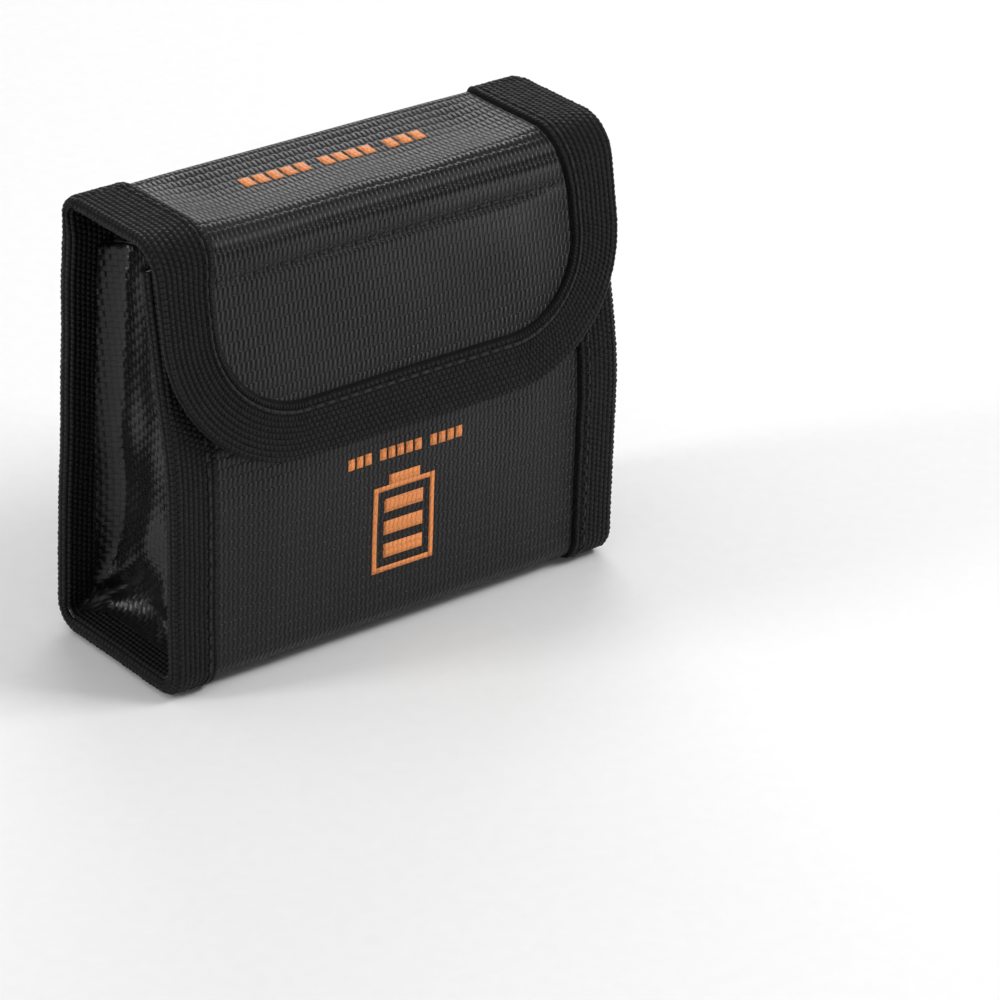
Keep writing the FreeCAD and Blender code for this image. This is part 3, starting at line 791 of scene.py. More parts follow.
@dataclass
class Strip:
    """Side profile of the one strip of cloth, and the gentle relief of its face."""

    cloth: float = 0.7 * MM
    lining: float = 0.6 * MM
    stack: float = 2.4 * MM
    tape: float = 0.9 * MM
    settle: float = 1.0 * MM
    lean: float = 0.185
    back_lean: float = 0.044
    knee_height: float = 45 * MM
    knee_radius: float = 70 * MM
    base_radius: float = 5 * MM
    hinge_radius: float = 4 * MM
    shoulder_radius: float = 8.5 * MM
    shoulder_out: float = 1.6 * MM
    split_in: float = 4.4 * MM
    fold_in: float = 2.6 * MM
    hook_rise: float = 38.3 * MM
    uneven: float = 0.32 * MM
    pucker: float = 0.1 * MM
    dent: float = 0.6 * MM
    dent_width: float = 0.9 * MM
    step: float = 0.1 * MM

    def __post_init__(self) -> None:
        """Measure the frame and trace the profile of the cloth's outside face."""
        low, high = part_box("outer_wrap")
        lid_low, lid_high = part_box("lid_panel")
        _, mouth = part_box("loop_strip")
        flap_low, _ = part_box("flap_panel")
        self.half = high[0]
        self.front, self.back, self.base = low[1], high[1], low[2]
        self.top = lid_high[2]
        self.mouth = mouth[2]
        self.flap_end = flap_low[2]
        back_top = self.back - self.back_lean * (self.top - self.base)
        slant = self.front + self.lean * (self.mouth - self.knee_height)
        flap_out = lid_low[1] - self.shoulder_out + self.settle
        flap_tip = flap_out - self.lean * (self.top - self.flap_end)
        corners = [
            (slant, self.mouth, 0.0),
            (self.front, self.knee_height, self.knee_radius),
            (self.front, self.base, self.base_radius),
            (self.back, self.base, self.base_radius),
            (back_top, self.top, self.hinge_radius),
            (flap_out, self.top, self.shoulder_radius),
            (flap_tip, self.flap_end, 0.0),
        ]
        path = self.rounded(corners)
        gaps = np.linalg.norm(np.diff(path, axis=0), axis=1)
        run = np.concatenate([[0.0], np.cumsum(gaps)])
        self.length = float(run[-1])
        self.run = np.linspace(0.0, self.length, int(self.length / self.step))
        self.y = np.interp(self.run, run, path[:, 0])
        self.z = np.interp(self.run, run, path[:, 1])
        out_y, out_z = np.gradient(self.z), -np.gradient(self.y)
        size = np.hypot(out_y, out_z)
        self.out_y, self.out_z = out_y / size, out_z / size
        self.base_start = self.nearest(self.front + self.base_radius, self.base)
        self.base_end = self.nearest(self.back - self.base_radius, self.base)
        self.split = self.nearest(back_top - self.split_in, self.top)
        self.fold = self.nearest(flap_out + self.fold_in, self.top - self.fold_in)
        self.hook_row = self.length - self.hook_rise

    def rounded(self, corners: list[tuple[float, float, float]]) -> Array:
        """Path through corners of given radius, as points close together.

        Args:
            corners: (y, z, radius) of each corner, 0 at the ends.

        Returns:
            The points, one row each.
        """
        points = [np.array(corners[0][:2])]
        for before, here, after in zip(corners, corners[1:], corners[2:]):
            at = np.array(here[:2])
            arrive = at - np.array(before[:2])
            leave = np.array(after[:2]) - at
            arrive, leave = arrive / np.linalg.norm(arrive), leave / np.linalg.norm(leave)
            side = math.copysign(1.0, arrive[0] * leave[1] - arrive[1] * leave[0])
            turn = math.acos(float(np.clip(arrive @ leave, -1, 1)))
            start = at - arrive * here[2] * math.tan(turn / 2)
            normal = side * np.array([-arrive[1], arrive[0]])
            for k in range(33):
                angle = turn * k / 32
                swing = arrive * math.sin(angle) + normal * (1 - math.cos(angle))
                points.append(start + here[2] * swing)
        points.append(np.array(corners[-1][:2]))
        return np.array(points)

    def nearest(self, y: float, z: float) -> float:
        """Distance along the strip of the profile's point nearest to (y, z)."""
        return float(self.run[np.argmin(np.hypot(self.y - y, self.z - z))])

    def spans(self) -> list[tuple[float, float, float]]:
        """Start, end and bulge of the strip's free panels.

        Returns:
            One row for each panel.
        """
        return [
            (0.0, self.base_start, 0.9 * MM),
            (self.base_start, self.base_end, 0.3 * MM),
            (self.base_end, self.split, 1.3 * MM),
            (self.split, self.fold, -1.5 * MM),
            (self.fold, self.length, 0.5 * MM),
        ]

    def relief(self, u: Array, v: Array) -> Array:
        """How far the cloth's face stands off the profile, outwards.

        Args:
            u: places across.
            v: places along.

        Returns:
            The height at each place.
        """
        edge = smooth((self.half - 10 * MM - np.abs(u)) / (16 * MM))
        height = np.zeros(np.broadcast(u, v).shape)
        for number, (start, end, bulge) in enumerate(self.spans()):
            share = np.clip((v - start) / (end - start), 0.0, 1.0)
            window = np.sin(np.pi * share)
            height += bulge * window * edge
            height += self.uneven * window * edge * ripple(u, v, 26 * MM, SEED + number)
            pucker = np.exp(-((self.half - 11 * MM - np.abs(u)) / (5 * MM)) ** 2)
            height += self.pucker * np.sqrt(window) * pucker * ripple(0 * u, v, 6 * MM, number)
        height -= self.dent * np.exp(-(((v - self.hook_row) / self.dent_width) ** 2)) * edge
        return height

    def place(self, u: Array, v: Array, face: Array) -> Array:
        """Points at flat places (u, v), at a height over the cloth's outside face.

        Args:
            u: places across.
            v: places along.
            face: heights over the outside face.

        Returns:
            The points.
        """
        off = face + self.relief(u, v)
        y = np.interp(v, self.run, self.y) + np.interp(v, self.run, self.out_y) * off
        z = np.interp(v, self.run, self.z) + np.interp(v, self.run, self.out_z) * off
        return np.stack([np.broadcast_to(u, y.shape), y, z], axis=-1)

    def up(self, v: Array) -> Array:
        """Outward direction at places along the strip."""
        y, z = np.interp(v, self.run, self.out_y), np.interp(v, self.run, self.out_z)
        return np.stack([0 * y, y, z], axis=-1)

    def onward(self, v: Array) -> Array:
        """Direction along the strip at places along it."""
        up = self.up(v)
        return np.stack([up[..., 0], -up[..., 2], up[..., 1]], axis=-1)


def hang(piece: bpy.types.Object, slot: str, *nodes: str) -> bpy.types.Object:
    """Hide the CAD nodes that a piece stands for, and log it with its face count and slot.

    Args:
        piece: the finished piece.
        slot: the record's material slot.
        nodes: CAD nodes that it replaces.

    Returns:
        The piece.
    """
    if nodes:
        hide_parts(*nodes)
    log.info("%s: %d faces, slot %s", piece.name, len(piece.data.polygons), slot)
    return piece


def bend_at_lid(piece: bpy.types.Object) -> None:
    """Bake the piece's transform into its mesh."""
    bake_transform(piece)


def bend_at_flap(piece: bpy.types.Object) -> None:
    """Bake the piece's transform into its mesh."""
    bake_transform(piece)


@dataclass
class Wrap:
    """Front, base and back: the cloth, its lining and the turned hem at the mouth."""

    strip: Strip
    finish: dict[str, bpy.types.Material]
    across: int = 90
    grain: float = 1.0 * MM

    def grid(self, start: float, end: float, half: float) -> tuple[Array, Array]:
        """A flat grid between two places along the strip and two edges."""
        v = np.linspace(start, end, max(4, int((end - start) / self.grain)))
        return np.meshgrid(np.linspace(-half, half, self.across), v)

    def build(self) -> None:
        """Make the cloth, its lining and the mouth's hem, which rides on the bag."""
        strip, end = self.strip, self.strip.split
        u, v = self.grid(0.0, end, strip.half)
        cloth = cloth_sheet("wrap_cloth", strip.place, u, v, 0.0, strip.cloth,
                            self.finish["ribbed_cloth"])
        hang(cloth, "ribbed_cloth", "outer_wrap")
        bend_at_lid(cloth)
        inside = cloth_sheet("wrap_inner", strip.place, u, v, -strip.cloth, strip.lining,
                             self.finish["silver_lining"])
        hang(inside, "silver_lining", "wrap_lining")
        bend_at_lid(inside)
        self.mouth()

    def mouth(self) -> None:
        """The hem turned over the mouth's edge to the inside."""
        strip, depth, leaf = self.strip, 9 * MM, 0.45 * MM
        half = strip.half - 12.2 * MM
        back = strip.cloth + strip.lining + 2 * leaf
        u = np.linspace(-half, half, 160)
        edge = np.stack([u, np.full(u.shape, -leaf)], axis=-1)
        hem = Ribbon(edge, np.tile([0.0, 1.0], (len(u), 1)), depth,
                     np.full(len(u), -back / 2 + 0.06 * MM), np.full(len(u), back / 2), leaf * 0.8,
                     2 * MM, 0.0)
        piece = hem.build("mouth_fold", self.carry, self.finish["ribbed_cloth"])
        hang(piece, "ribbed_cloth", "mouth_hem")
        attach(piece, "bag")

    def carry(self, u: Array, v: Array, face: Array) -> Array:
        """Place on the strip that also reaches a little past the mouth's edge.

        Args:
            u: places across.
            v: places along.
            face: heights over the outside face.

        Returns:
            The points.
        """
        points = self.strip.place(u, np.maximum(v, 0.0), face)
        over = np.minimum(v, 0.0)[..., None] * self.strip.onward(np.zeros(v.shape))
        return points + over


@dataclass
class SeamWebbing:
    """Folded webbing over the two standing seams, from the mouth round the base to the lid."""

    strip: Strip
    finish: dict[str, bpy.types.Material]
    width: float = 10 * MM
    lid_width: float = 13 * MM
    pitch: float = 1.15 * MM
    weave: float = 0.32 * MM
    leaf: float = 0.6 * MM

    def build(self) -> None:
        """Make both bands."""
        strip = self.strip
        v = np.arange(-0.4 * MM, strip.split, self.pitch / 4)
        thin = smooth((v - strip.split + 12 * MM) / (6 * MM))
        stack = strip.stack + (strip.cloth + strip.lining - strip.stack) * thin
        for side, hand in ((-1, "left"), (1, "right")):
            outer = strip.half + 0.9 * MM - self.weave
            sway = 0.25 * MM * ripple(0 * v, v, 30 * MM, SEED + side)
            edge = np.stack([side * (outer + np.minimum(sway, 0.2 * MM)), v], axis=-1)
            widen = 1 + (self.lid_width / self.width - 1) * smooth((v - strip.split) / (9 * MM) + 1)
            inward = np.stack([-side * widen, 0 * v], axis=-1)
            band = Ribbon(edge, inward, self.width, -stack / 2,
                          stack / 2 + strip.tape - self.weave, self.leaf, self.pitch, self.weave)
            piece = band.build(f"{hand}_seam_webbing", strip.place, self.finish["webbing"])
            hang(piece, "webbing", f"{hand}_seam_binding")
            bend_at_lid(piece)


@dataclass
class LidAndFlap:
    """Lid and flap: cloth, lining, and the webbing round their three free edges."""

    strip: Strip
    finish: dict[str, bpy.types.Material]
    corner: float = 29.1 * MM
    lid_width: float = 13 * MM
    flap_width: float = 11.5 * MM
    pitch: float = 1.15 * MM
    weave: float = 0.32 * MM
    leaf: float = 0.6 * MM

    def half_at(self, v: Array) -> Array:
        """Half the cloth's width along the strip, less where the flap's corners are round."""
        down = np.clip(v - (self.strip.length - self.corner), 0.0, self.corner)
        return self.strip.half - self.corner + np.sqrt(self.corner**2 - down**2)

    def panels(self) -> None:
        """The cloth and its lining, as one sheet each."""
        strip = self.strip
        straight = strip.length - self.corner
        sweep = np.sin(np.linspace(0.0, math.pi / 2, 40))[1:]
        v = np.concatenate([np.linspace(strip.split, straight, 110), straight + self.corner * sweep])
        t, v = np.meshgrid(np.linspace(-1, 1, 96), v)
        u = t * self.half_at(v)
        for name, slot, face, thickness, nodes in (
            ("lid_flap_cloth", "ribbed_cloth", 0.0, strip.cloth, ("lid_panel", "flap_panel")),
            ("lid_flap_inner", "silver_lining", -strip.cloth, strip.lining,
             ("lid_lining", "flap_lining")),
        ):
            piece = cloth_sheet(name, strip.place, u, v, face, thickness, self.finish[slot])
            hang(piece, slot, *nodes)
            bend_at_flap(piece)

    def edge_path(self) -> tuple[Array, Array, Array]:
        """Flat path of the webbing's edge from the left back corner to the right one.

        Returns:
            The path, the inward direction, and how much of the flap each point has reached.
        """
        strip = self.strip
        outer = 0.9 * MM - self.weave
        half, radius = strip.half + outer, self.corner + outer
        low = strip.length - self.corner
        step = self.pitch / 4
        down = np.arange(strip.split, low, step)
        turn = np.linspace(0.0, math.pi / 2, int(radius * math.pi / 2 / step))[:-1]
        level = np.arange(-(half - radius), half - radius, step)
        side = np.stack([np.full(down.shape, -half), down], axis=-1)
        bend = np.stack([-(half - radius) - radius * np.cos(turn), low + radius * np.sin(turn)],
                        axis=-1)
        foot = np.stack([level, np.full(level.shape, low + radius)], axis=-1)
        mirror = np.array([-1.0, 1.0])
        path = np.concatenate([side, bend, foot, (bend * mirror)[::-1], (side * mirror)[::-1]])
        ways = [np.tile([1.0, 0.0], (len(side), 1)),
                np.stack([np.cos(turn), -np.sin(turn)], axis=-1)]
        flat = np.tile([0.0, -1.0], (len(foot), 1))
        inward = np.concatenate([*ways, flat, (ways[1] * mirror)[::-1], (ways[0] * mirror)[::-1]])
        reached = smooth((path[:, 1] - strip.fold) / (12 * MM))
        return path, inward, reached

    def webbing(self) -> None:
        """One band of webbing down the lid, round the flap and up again."""
        strip = self.strip
        path, inward, reached = self.edge_path()
        share = 1 + (self.lid_width / self.flap_width - 1) * (1 - reached)
        stack = strip.cloth + strip.lining
        half = stack / 2 + strip.tape - self.weave
        band = Ribbon(path, inward * share[:, None], self.flap_width,
                      np.full(len(path), -stack / 2), np.full(len(path), half), self.leaf,
                      self.pitch, self.weave)
        piece = band.build("edge_webbing", self.carry, self.finish["webbing"])
        hang(piece, "webbing", "left_lid_binding", "right_lid_binding", "flap_binding")
        bend_at_flap(piece)

    def carry(self, u: Array, v: Array, face: Array) -> Array:
        """Place on the strip that also reaches past the flap's lower edge.

        Args:
            u: places across.
            v: places along.
            face: heights over the outside face.

        Returns:
            The points.
        """
        points = self.strip.place(u, np.minimum(v, self.strip.length), face)
        over = np.maximum(v - self.strip.length, 0.0)[..., None]
        return points + over * self.strip.onward(np.full(v.shape, self.strip.length))

    def build(self) -> None:
        """Make the panels and the webbing."""
        self.panels()
        self.webbing()


@dataclass
class Gusset:
    """A recessed side: gloss cloth that flares out to the seams, with its lining."""

    strip: Strip
    finish: dict[str, bpy.types.Material]
    side: int
    hand: str
    panel: float = 43.4 * MM
    flare: float = 5.5 * MM
    corner: float = 4.5 * MM
    half_depth: float = 19 * MM
    fan_height: float = 1.5 * MM
    fold_height: float = 0.45 * MM
    pull_height: float = 0.55 * MM

    def flared(self, distance: Array, reach: float) -> Array:
        """Share 1..0 of the way out to the seam's edge, by distance from the seam."""
        near = np.clip(1 - distance / reach, 0.0, 1.0)
        return 1 - np.sqrt(np.maximum(1 - near**2, 0.0))

    def spread(self, count: int, both: bool) -> Array:
        """Places 0..1 that crowd at one end or at both, where the cloth turns."""
        t = np.linspace(0.0, 1.0, count)
        return (1 - np.cos(np.pi * t)) / 2 if both else 1 - np.cos(np.pi / 2 * t)

    def wrinkles(self, y: Array, z: Array) -> Array:
        """Creases of the pinched side: fans from the lower corners and soft upright folds.

        Args:
            y: places from front to back.
            z: heights.

        Returns:
            How far the cloth stands out at each place.
        """
        middle, low = 2 * MM, 4 * MM
        fan = np.zeros(y.shape)
        for hand, seed in ((-1, 3), (1, 5)):
            reach = np.hypot(y - middle - hand * self.half_depth, z - low)
            angle = np.arctan2(z - low, hand * (middle + hand * self.half_depth - y) + 1e-6)
            near = smooth((reach - 2 * MM) / (6 * MM)) * np.exp(-reach / (19 * MM))
            fan += near * np.sin(angle * 9 + seed + 35 * reach)
        upright = np.sin((y - middle) / (7 * MM)) * smooth((z - 22 * MM) / (25 * MM))
        pull = ripple(y * 1.8, z * 0.55, 13 * MM, SEED + self.side)
        return self.fan_height * fan + self.fold_height * upright + self.pull_height * pull

    def grids(self, inset: float) -> tuple[Array, Array]:
        """Points of the side's cloth at a distance inside its outer face, and their flat places.

        Args:
            inset: how far into the bag the face lies.

        Returns:
            The grid of points and the flat places.
        """
        strip = self.strip
        low = strip.base + strip.stack - 0.2 * MM - inset
        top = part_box(f"{self.hand}_gusset")[1][2]
        z = low + (top - low) * self.spread(86, both=False)
        front = np.interp(z, strip.z[strip.run < strip.base_start][::-1],
                          strip.y[strip.run < strip.base_start][::-1])
        rise = (strip.run > strip.base_end) & (strip.run < strip.split)
        back = np.interp(z, strip.z[rise], strip.y[rise])
        close = np.clip(self.corner - (z - low), 0.0, self.corner)
        round_in = self.corner - np.sqrt(self.corner**2 - close**2)
        near = front + strip.stack - 0.2 * MM - inset + round_in
        far = back - strip.stack + 0.2 * MM + inset - round_in
        t = self.spread(64, both=True)
        y = near[:, None] + (far - near)[:, None] * t[None]
        z = np.broadcast_to(z[:, None], y.shape)
        gap = np.minimum(y - near[:, None], far[:, None] - y)
        reach = self.flare + inset
        sides, foot = self.flared(gap, reach), self.flared(z - low, reach)
        out = 1 - (1 - sides) * (1 - foot)
        x = self.panel - inset + (strip.half - self.panel + inset) * out
        x = x + self.wrinkles(y, z) * smooth(1 - out * 1.4) * smooth((top - z) / (9 * MM))
        points = np.stack([self.side * x, y, z], axis=-1)
        wide = np.concatenate([np.zeros((len(y), 1)), np.cumsum(
            np.linalg.norm(np.diff(points, axis=1), axis=2), axis=1)], axis=1)
        tall = np.concatenate([np.zeros((1, y.shape[1])), np.cumsum(
            np.linalg.norm(np.diff(points, axis=0), axis=2), axis=0)], axis=0)
        middle = wide[:, -1:] / 2
        return points, np.stack([wide - middle, tall[-1:] - tall], axis=-1)

    def build(self) -> None:
        """Make the cloth and its lining."""
        cloth, lining = 0.5 * MM, 0.4 * MM
        faces = [self.grids(depth) for depth in (0.0, cloth, cloth + lining)]
        for name, slot, node, outer, inner in (
            (f"{self.hand}_side", "gusset_cloth", f"{self.hand}_gusset", 0, 1),
            (f"{self.hand}_side_inner", "silver_lining", f"{self.hand}_gusset_lining", 1, 2),
        ):
            piece = closed_shell(name, faces[outer][0], faces[inner][0], faces[outer][1],
                                 faces[inner][1], self.finish[slot])
            hang(piece, slot, node)
            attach(piece, "bag")


@dataclass
class Wing:
    """A dust wing that runs on from the side and folds in over the mouth."""

    finish: dict[str, bpy.types.Material]
    side: int
    hand: str
    hem: float = 6.2 * MM
    cut: float = 9 * MM
    cut_start: float = 32 * MM
    stand_off: float = 0.4 * MM
    droop: float = 0.7 * MM
    uneven: float = 0.35 * MM

    def __post_init__(self) -> None:
        """Measure the wing's plate in the frame."""
        low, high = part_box(f"{self.hand}_wing_panel")
        edges = sorted((abs(low[0]), abs(high[0])))
        self.tip, self.root = edges
        self.near, self.far = low[1], high[1]
        self.level = high[2]
        self.turn = 2.2 * MM
        self.drop = 2.4 * MM
        bend = self.turn * math.pi / 2
        self.reach = self.drop + bend + self.root - self.tip

    def place(self, u: Array, v: Array, face: Array) -> Array:
        """Points at flat places: u from the root along the wing, v across it.

        The cloth comes up from the side, turns in over a small radius and lies level.

        Args:
            u: places along the wing.
            v: places across it.
            face: heights over its outside face.

        Returns:
            The points.
        """
        bend = self.turn * math.pi / 2
        angle = np.clip((u - self.drop) / self.turn, 0.0, math.pi / 2)
        straight = np.maximum(u - self.drop - bend, 0.0)
        rise = np.minimum(u, self.drop)
        sag = -self.droop * smooth(straight / (26 * MM)) + self.uneven * ripple(u, v, 17 * MM, 11)
        sag = sag * smooth(straight / (8 * MM))
        x = self.root + self.stand_off - self.turn * (1 - np.cos(angle)) - straight
        x = x + face * np.cos(angle)
        z = self.level - self.turn - self.drop + rise + self.turn * np.sin(angle)
        z = z + face * np.sin(angle) + sag
        return np.stack([self.side * x, v + 0 * x, z], axis=-1)

    def far_at(self, u: Array) -> Array:
        """Far edge of the cloth along the wing, cut back towards its tip."""
        start = self.reach - (self.cut_start - self.tip)
        return self.far - self.cut * np.clip((u - start) / (self.cut_start - self.tip), 0.0, 1.0)

    def edging(self) -> tuple[Array, Array]:
        """Flat path of the folded hem round the free edges, with mitred corners.

        Returns:
            The path and its inward vectors.
        """
        start = self.reach - (self.cut_start - self.tip)
        begin = self.drop + self.turn * math.pi / 2
        stops = [(begin, self.near), (self.reach, self.near), (self.reach, self.far - self.cut),
                 (start, self.far), (begin, self.far)]
        corners = np.array(stops)
        ways = np.diff(corners, axis=0)
        ways = ways / np.linalg.norm(ways, axis=1)[:, None]
        normals = np.stack([-ways[:, 1], ways[:, 0]], axis=-1)
        mitres = [normals[0]]
        for first, second in zip(normals, normals[1:]):
            middle = first + second
            mitres.append(middle / (middle @ first))
        mitres.append(normals[-1])
        path, inward = [], []
        for i in range(len(corners) - 1):
            count = max(3, int(np.linalg.norm(corners[i + 1] - corners[i]) / (0.9 * MM)))
            last = i == len(corners) - 2
            for t in np.linspace(0.0, 1.0, count, endpoint=last):
                path.append((1 - t) * corners[i] + t * corners[i + 1])
                inward.append((1 - t) * mitres[i] + t * mitres[i + 1])
        return np.array(path), np.array(inward)

    def bend(self, piece: bpy.types.Object) -> None:
        """Bake the piece's transform into its mesh."""
        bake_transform(piece)

    def build(self) -> None:
        """Make the cloth, its lining and the folded edging."""
        cloth, lining = 0.45 * MM, 0.4 * MM
        inset = 0.8 * MM
        t, u = np.meshgrid(np.linspace(0, 1, 44), np.linspace(0.0, self.reach - inset, 70))
        v = self.near + inset + (self.far_at(u) - self.near - 2 * inset) * t
        for name, slot, node, face, thick in (
            (f"{self.hand}_wing_cloth", "gusset_cloth", f"{self.hand}_wing_panel", 0.0, cloth),
            (f"{self.hand}_wing_inner", "silver_lining", f"{self.hand}_wing_lining", -cloth,
             lining),
        ):
            piece = cloth_sheet(name, self.place, u, v, face, thick, self.finish[slot])
            hang(piece, slot, node)
            self.bend(piece)
        path, inward = self.edging()
        half = (cloth + lining) / 2 + 0.3 * MM
        count = len(path)
        fold = Ribbon(path, inward, self.hem, np.full(count, -(cloth + lining) / 2),
                      np.full(count, half), 0.25 * MM, 1.6 * MM, 0.0, steps=3)
        piece = fold.build(f"{self.hand}_wing_edging", self.place, self.finish["gusset_cloth"])
        hang(piece, "gusset_cloth", f"{self.hand}_wing_hem")
        self.bend(piece)


@dataclass
class Divider:
    """The bowed wall between the two bays, with a hem sewn in a wavy row."""

    strip: Strip
    finish: dict[str, bpy.types.Material]
    bow: float = 2.6 * MM
    hem: float = 6 * MM
    nip: float = 4 * MM

    def __post_init__(self) -> None:
        """Measure the wall in the frame."""
        low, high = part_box("divider")
        self.low, self.top = low[2], high[2]

    def limits(self, z: Array) -> tuple[Array, Array]:
        """Front and back ends of the wall at a height.

        Args:
            z: heights.

        Returns:
            The two ends at each height.
        """
        strip = self.strip
        inside = strip.cloth + strip.lining
        front = strip.front + strip.lean * np.maximum(z - strip.knee_height, 0.0) + inside
        back = strip.back - strip.back_lean * (z - strip.base) - inside
        close = np.clip(self.low + self.nip - z, 0.0, self.nip)
        nip = self.nip - np.sqrt(self.nip**2 - close**2)
        return front + nip - 0.2 * MM, back - nip + 0.2 * MM

    def place(self, u: Array, v: Array, face: Array) -> Array:
        """Points at flat places: u 0..1 from front to back, v the height.

        Args:
            u: shares of the way from front to back.
            v: heights.
            face: distances from the wall's middle.

        Returns:
            The points.
        """
        front, back = self.limits(v)
        swell = np.sin(np.pi * np.clip(u, 0, 1)) * smooth((v - self.low) / (50 * MM))
        x = self.bow * swell * np.cos(2.2 * np.pi * u + 0.4) + 0.3 * MM * ripple(u * 0.04, v, 0.03)
        return np.stack([x + face, front + (back - front) * u, v + 0 * u], axis=-1)

    def build(self) -> None:
        """Make the wall, the hem and the wavy sewing."""
        half = 0.45 * MM
        v, u = np.meshgrid(np.linspace(self.low, self.top, 70), np.linspace(0, 1, 50))
        depth = float(np.ptp(self.place(u, v, 0 * u)[..., 1]))
        flat = np.stack([u * depth, v], axis=-1)
        outer, inner = self.place(u, v, half + 0 * u), self.place(u, v, -half + 0 * u)
        wall = closed_shell("divider_wall", outer, inner, flat, flat,
                            self.finish["divider_cloth"])
        hang(wall, "divider_cloth", "divider")
        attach(wall, "bag")
        share = np.linspace(0.015, 0.985, 60)
        edge = np.stack([share, np.full(share.shape, self.top + 0.4 * MM)], axis=-1)
        hem = Ribbon(edge, np.tile([0.0, -1.0], (60, 1)), self.hem, np.zeros(60),
                     np.full(60, half + 0.4 * MM), 0.3 * MM, 1.5 * MM, 0.0)
        piece = hem.build("divider_fold", self.place, self.finish["divider_cloth"])
        hang(piece, "divider_cloth", "divider_hem")
        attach(piece, "bag")
        sewing = Bits(Bit.STITCH, (1.7 * MM, 0.45 * MM, 0.35 * MM))
        t = np.linspace(0.04, 0.96, 16)
        wave = self.top - self.hem / 2 + 1.2 * MM * np.sin(np.arange(16) * 1.3)
        for side in (-1, 1):
            points = self.place(t, wave, np.full(16, side * (half + 0.42 * MM)))
            sewing.put(points, np.array([0.0, 1.0, 0.0]), np.array([float(side), 0.0, 0.0]))
        piece = hang(sewing.build("divider_sewing", self.finish["thread"]), "thread")
        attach(piece, "bag")


@dataclass
class Fastener:
    """Touch fastener: a fuzzy loop strip under the mouth, and hooks inside the flap."""

    strip: Strip
    finish: dict[str, bpy.types.Material]
    loop_pitch: float = 0.86 * MM
    hook_pitch: tuple[float, float] = (1.3 * MM, 1.0 * MM)
    loop_width: float = 29 * MM
    hook_corner: float = 18.8 * MM
    hook_reach: float = 2.3 * MM
    hook_top: float = 40.3 * MM
    hook_foot: float = 11.1 * MM

    def loops(self) -> None:
        """The loop strip: a thin tape under a fuzz of small loops."""
        strip = self.strip
        half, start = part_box("loop_strip")[1][0], 0.5 * MM
        end = start + self.loop_width
        u, v = np.meshgrid(np.linspace(-half, half, 110), np.linspace(start, end, 40))
        tape = cloth_sheet("loop_tape", strip.place, u, v, 0.45 * MM, 0.45 * MM,
                           self.finish["fastener_loop"])
        hang(tape, "fastener_loop", "loop_strip")
        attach(tape, "bag")
        pile = Bits(Bit.LOOP, (0.9 * MM, 0.9 * MM, 0.5 * MM), uneven=0.35)
        dice = np.random.default_rng(SEED)
        inset = 0.8 * MM
        u, v = np.meshgrid(np.arange(-half + inset, half - inset, self.loop_pitch),
                           np.arange(start + inset, end - inset, self.loop_pitch))
        u = (u + dice.uniform(-0.3, 0.3, u.shape) * MM).ravel()
        v = (v + dice.uniform(-0.3, 0.3, v.shape) * MM).ravel()
        angle = dice.uniform(0, math.tau, u.shape)[:, None]
        across = np.array([1.0, 0.0, 0.0])
        along = across * np.cos(angle) + strip.onward(v) * np.sin(angle)
        pile.put(strip.place(u, v, np.full(u.shape, 0.42 * MM)), along, strip.up(v))
        piece = hang(pile.build("loop_pile", self.finish["fastener_loop"]), "fastener_loop")
        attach(piece, "bag")

    def hooks(self) -> None:
        """The hook strip: a thin tape with rows of small hooks that face the loops."""
        strip, corner = self.strip, self.hook_corner
        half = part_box("hook_strip")[1][0] + self.hook_reach
        start = strip.length - self.hook_top
        end = strip.length - self.hook_foot
        under = -strip.cloth - strip.lining
        t, v = np.meshgrid(np.linspace(-1, 1, 90), np.linspace(start, end, 44))
        down = np.clip(v - (end - corner), 0.0, corner)
        u = t * (half - corner + np.sqrt(corner**2 - down**2))
        tape = cloth_sheet("hook_tape", strip.place, u, v, under, 0.35 * MM,
                           self.finish["fastener_hook"])
        hang(tape, "fastener_hook", "hook_strip")
        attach(tape, "flap")
        rows = Bits(Bit.HOOK, (0.7 * MM, 0.9 * MM, 0.32 * MM), uneven=0.12)
        u, v = np.meshgrid(np.arange(-half + MM, half - MM, self.hook_pitch[0]),
                           np.arange(start + MM, end - MM, self.hook_pitch[1]))
        down = np.clip(v - (end - corner), 0.0, corner)
        inside = np.abs(u) < half - corner + np.sqrt(corner**2 - down**2) - MM
        u, v = u[inside], v[inside]
        rows.put(strip.place(u, v, np.full(u.shape, under - 0.33 * MM)),
                 strip.onward(v), -strip.up(v))
        piece = hang(rows.build("hook_rows", self.finish["fastener_hook"]), "fastener_hook")
        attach(piece, "flap")

    def build(self) -> None:
        """Make both halves."""
        self.loops()
        self.hooks()


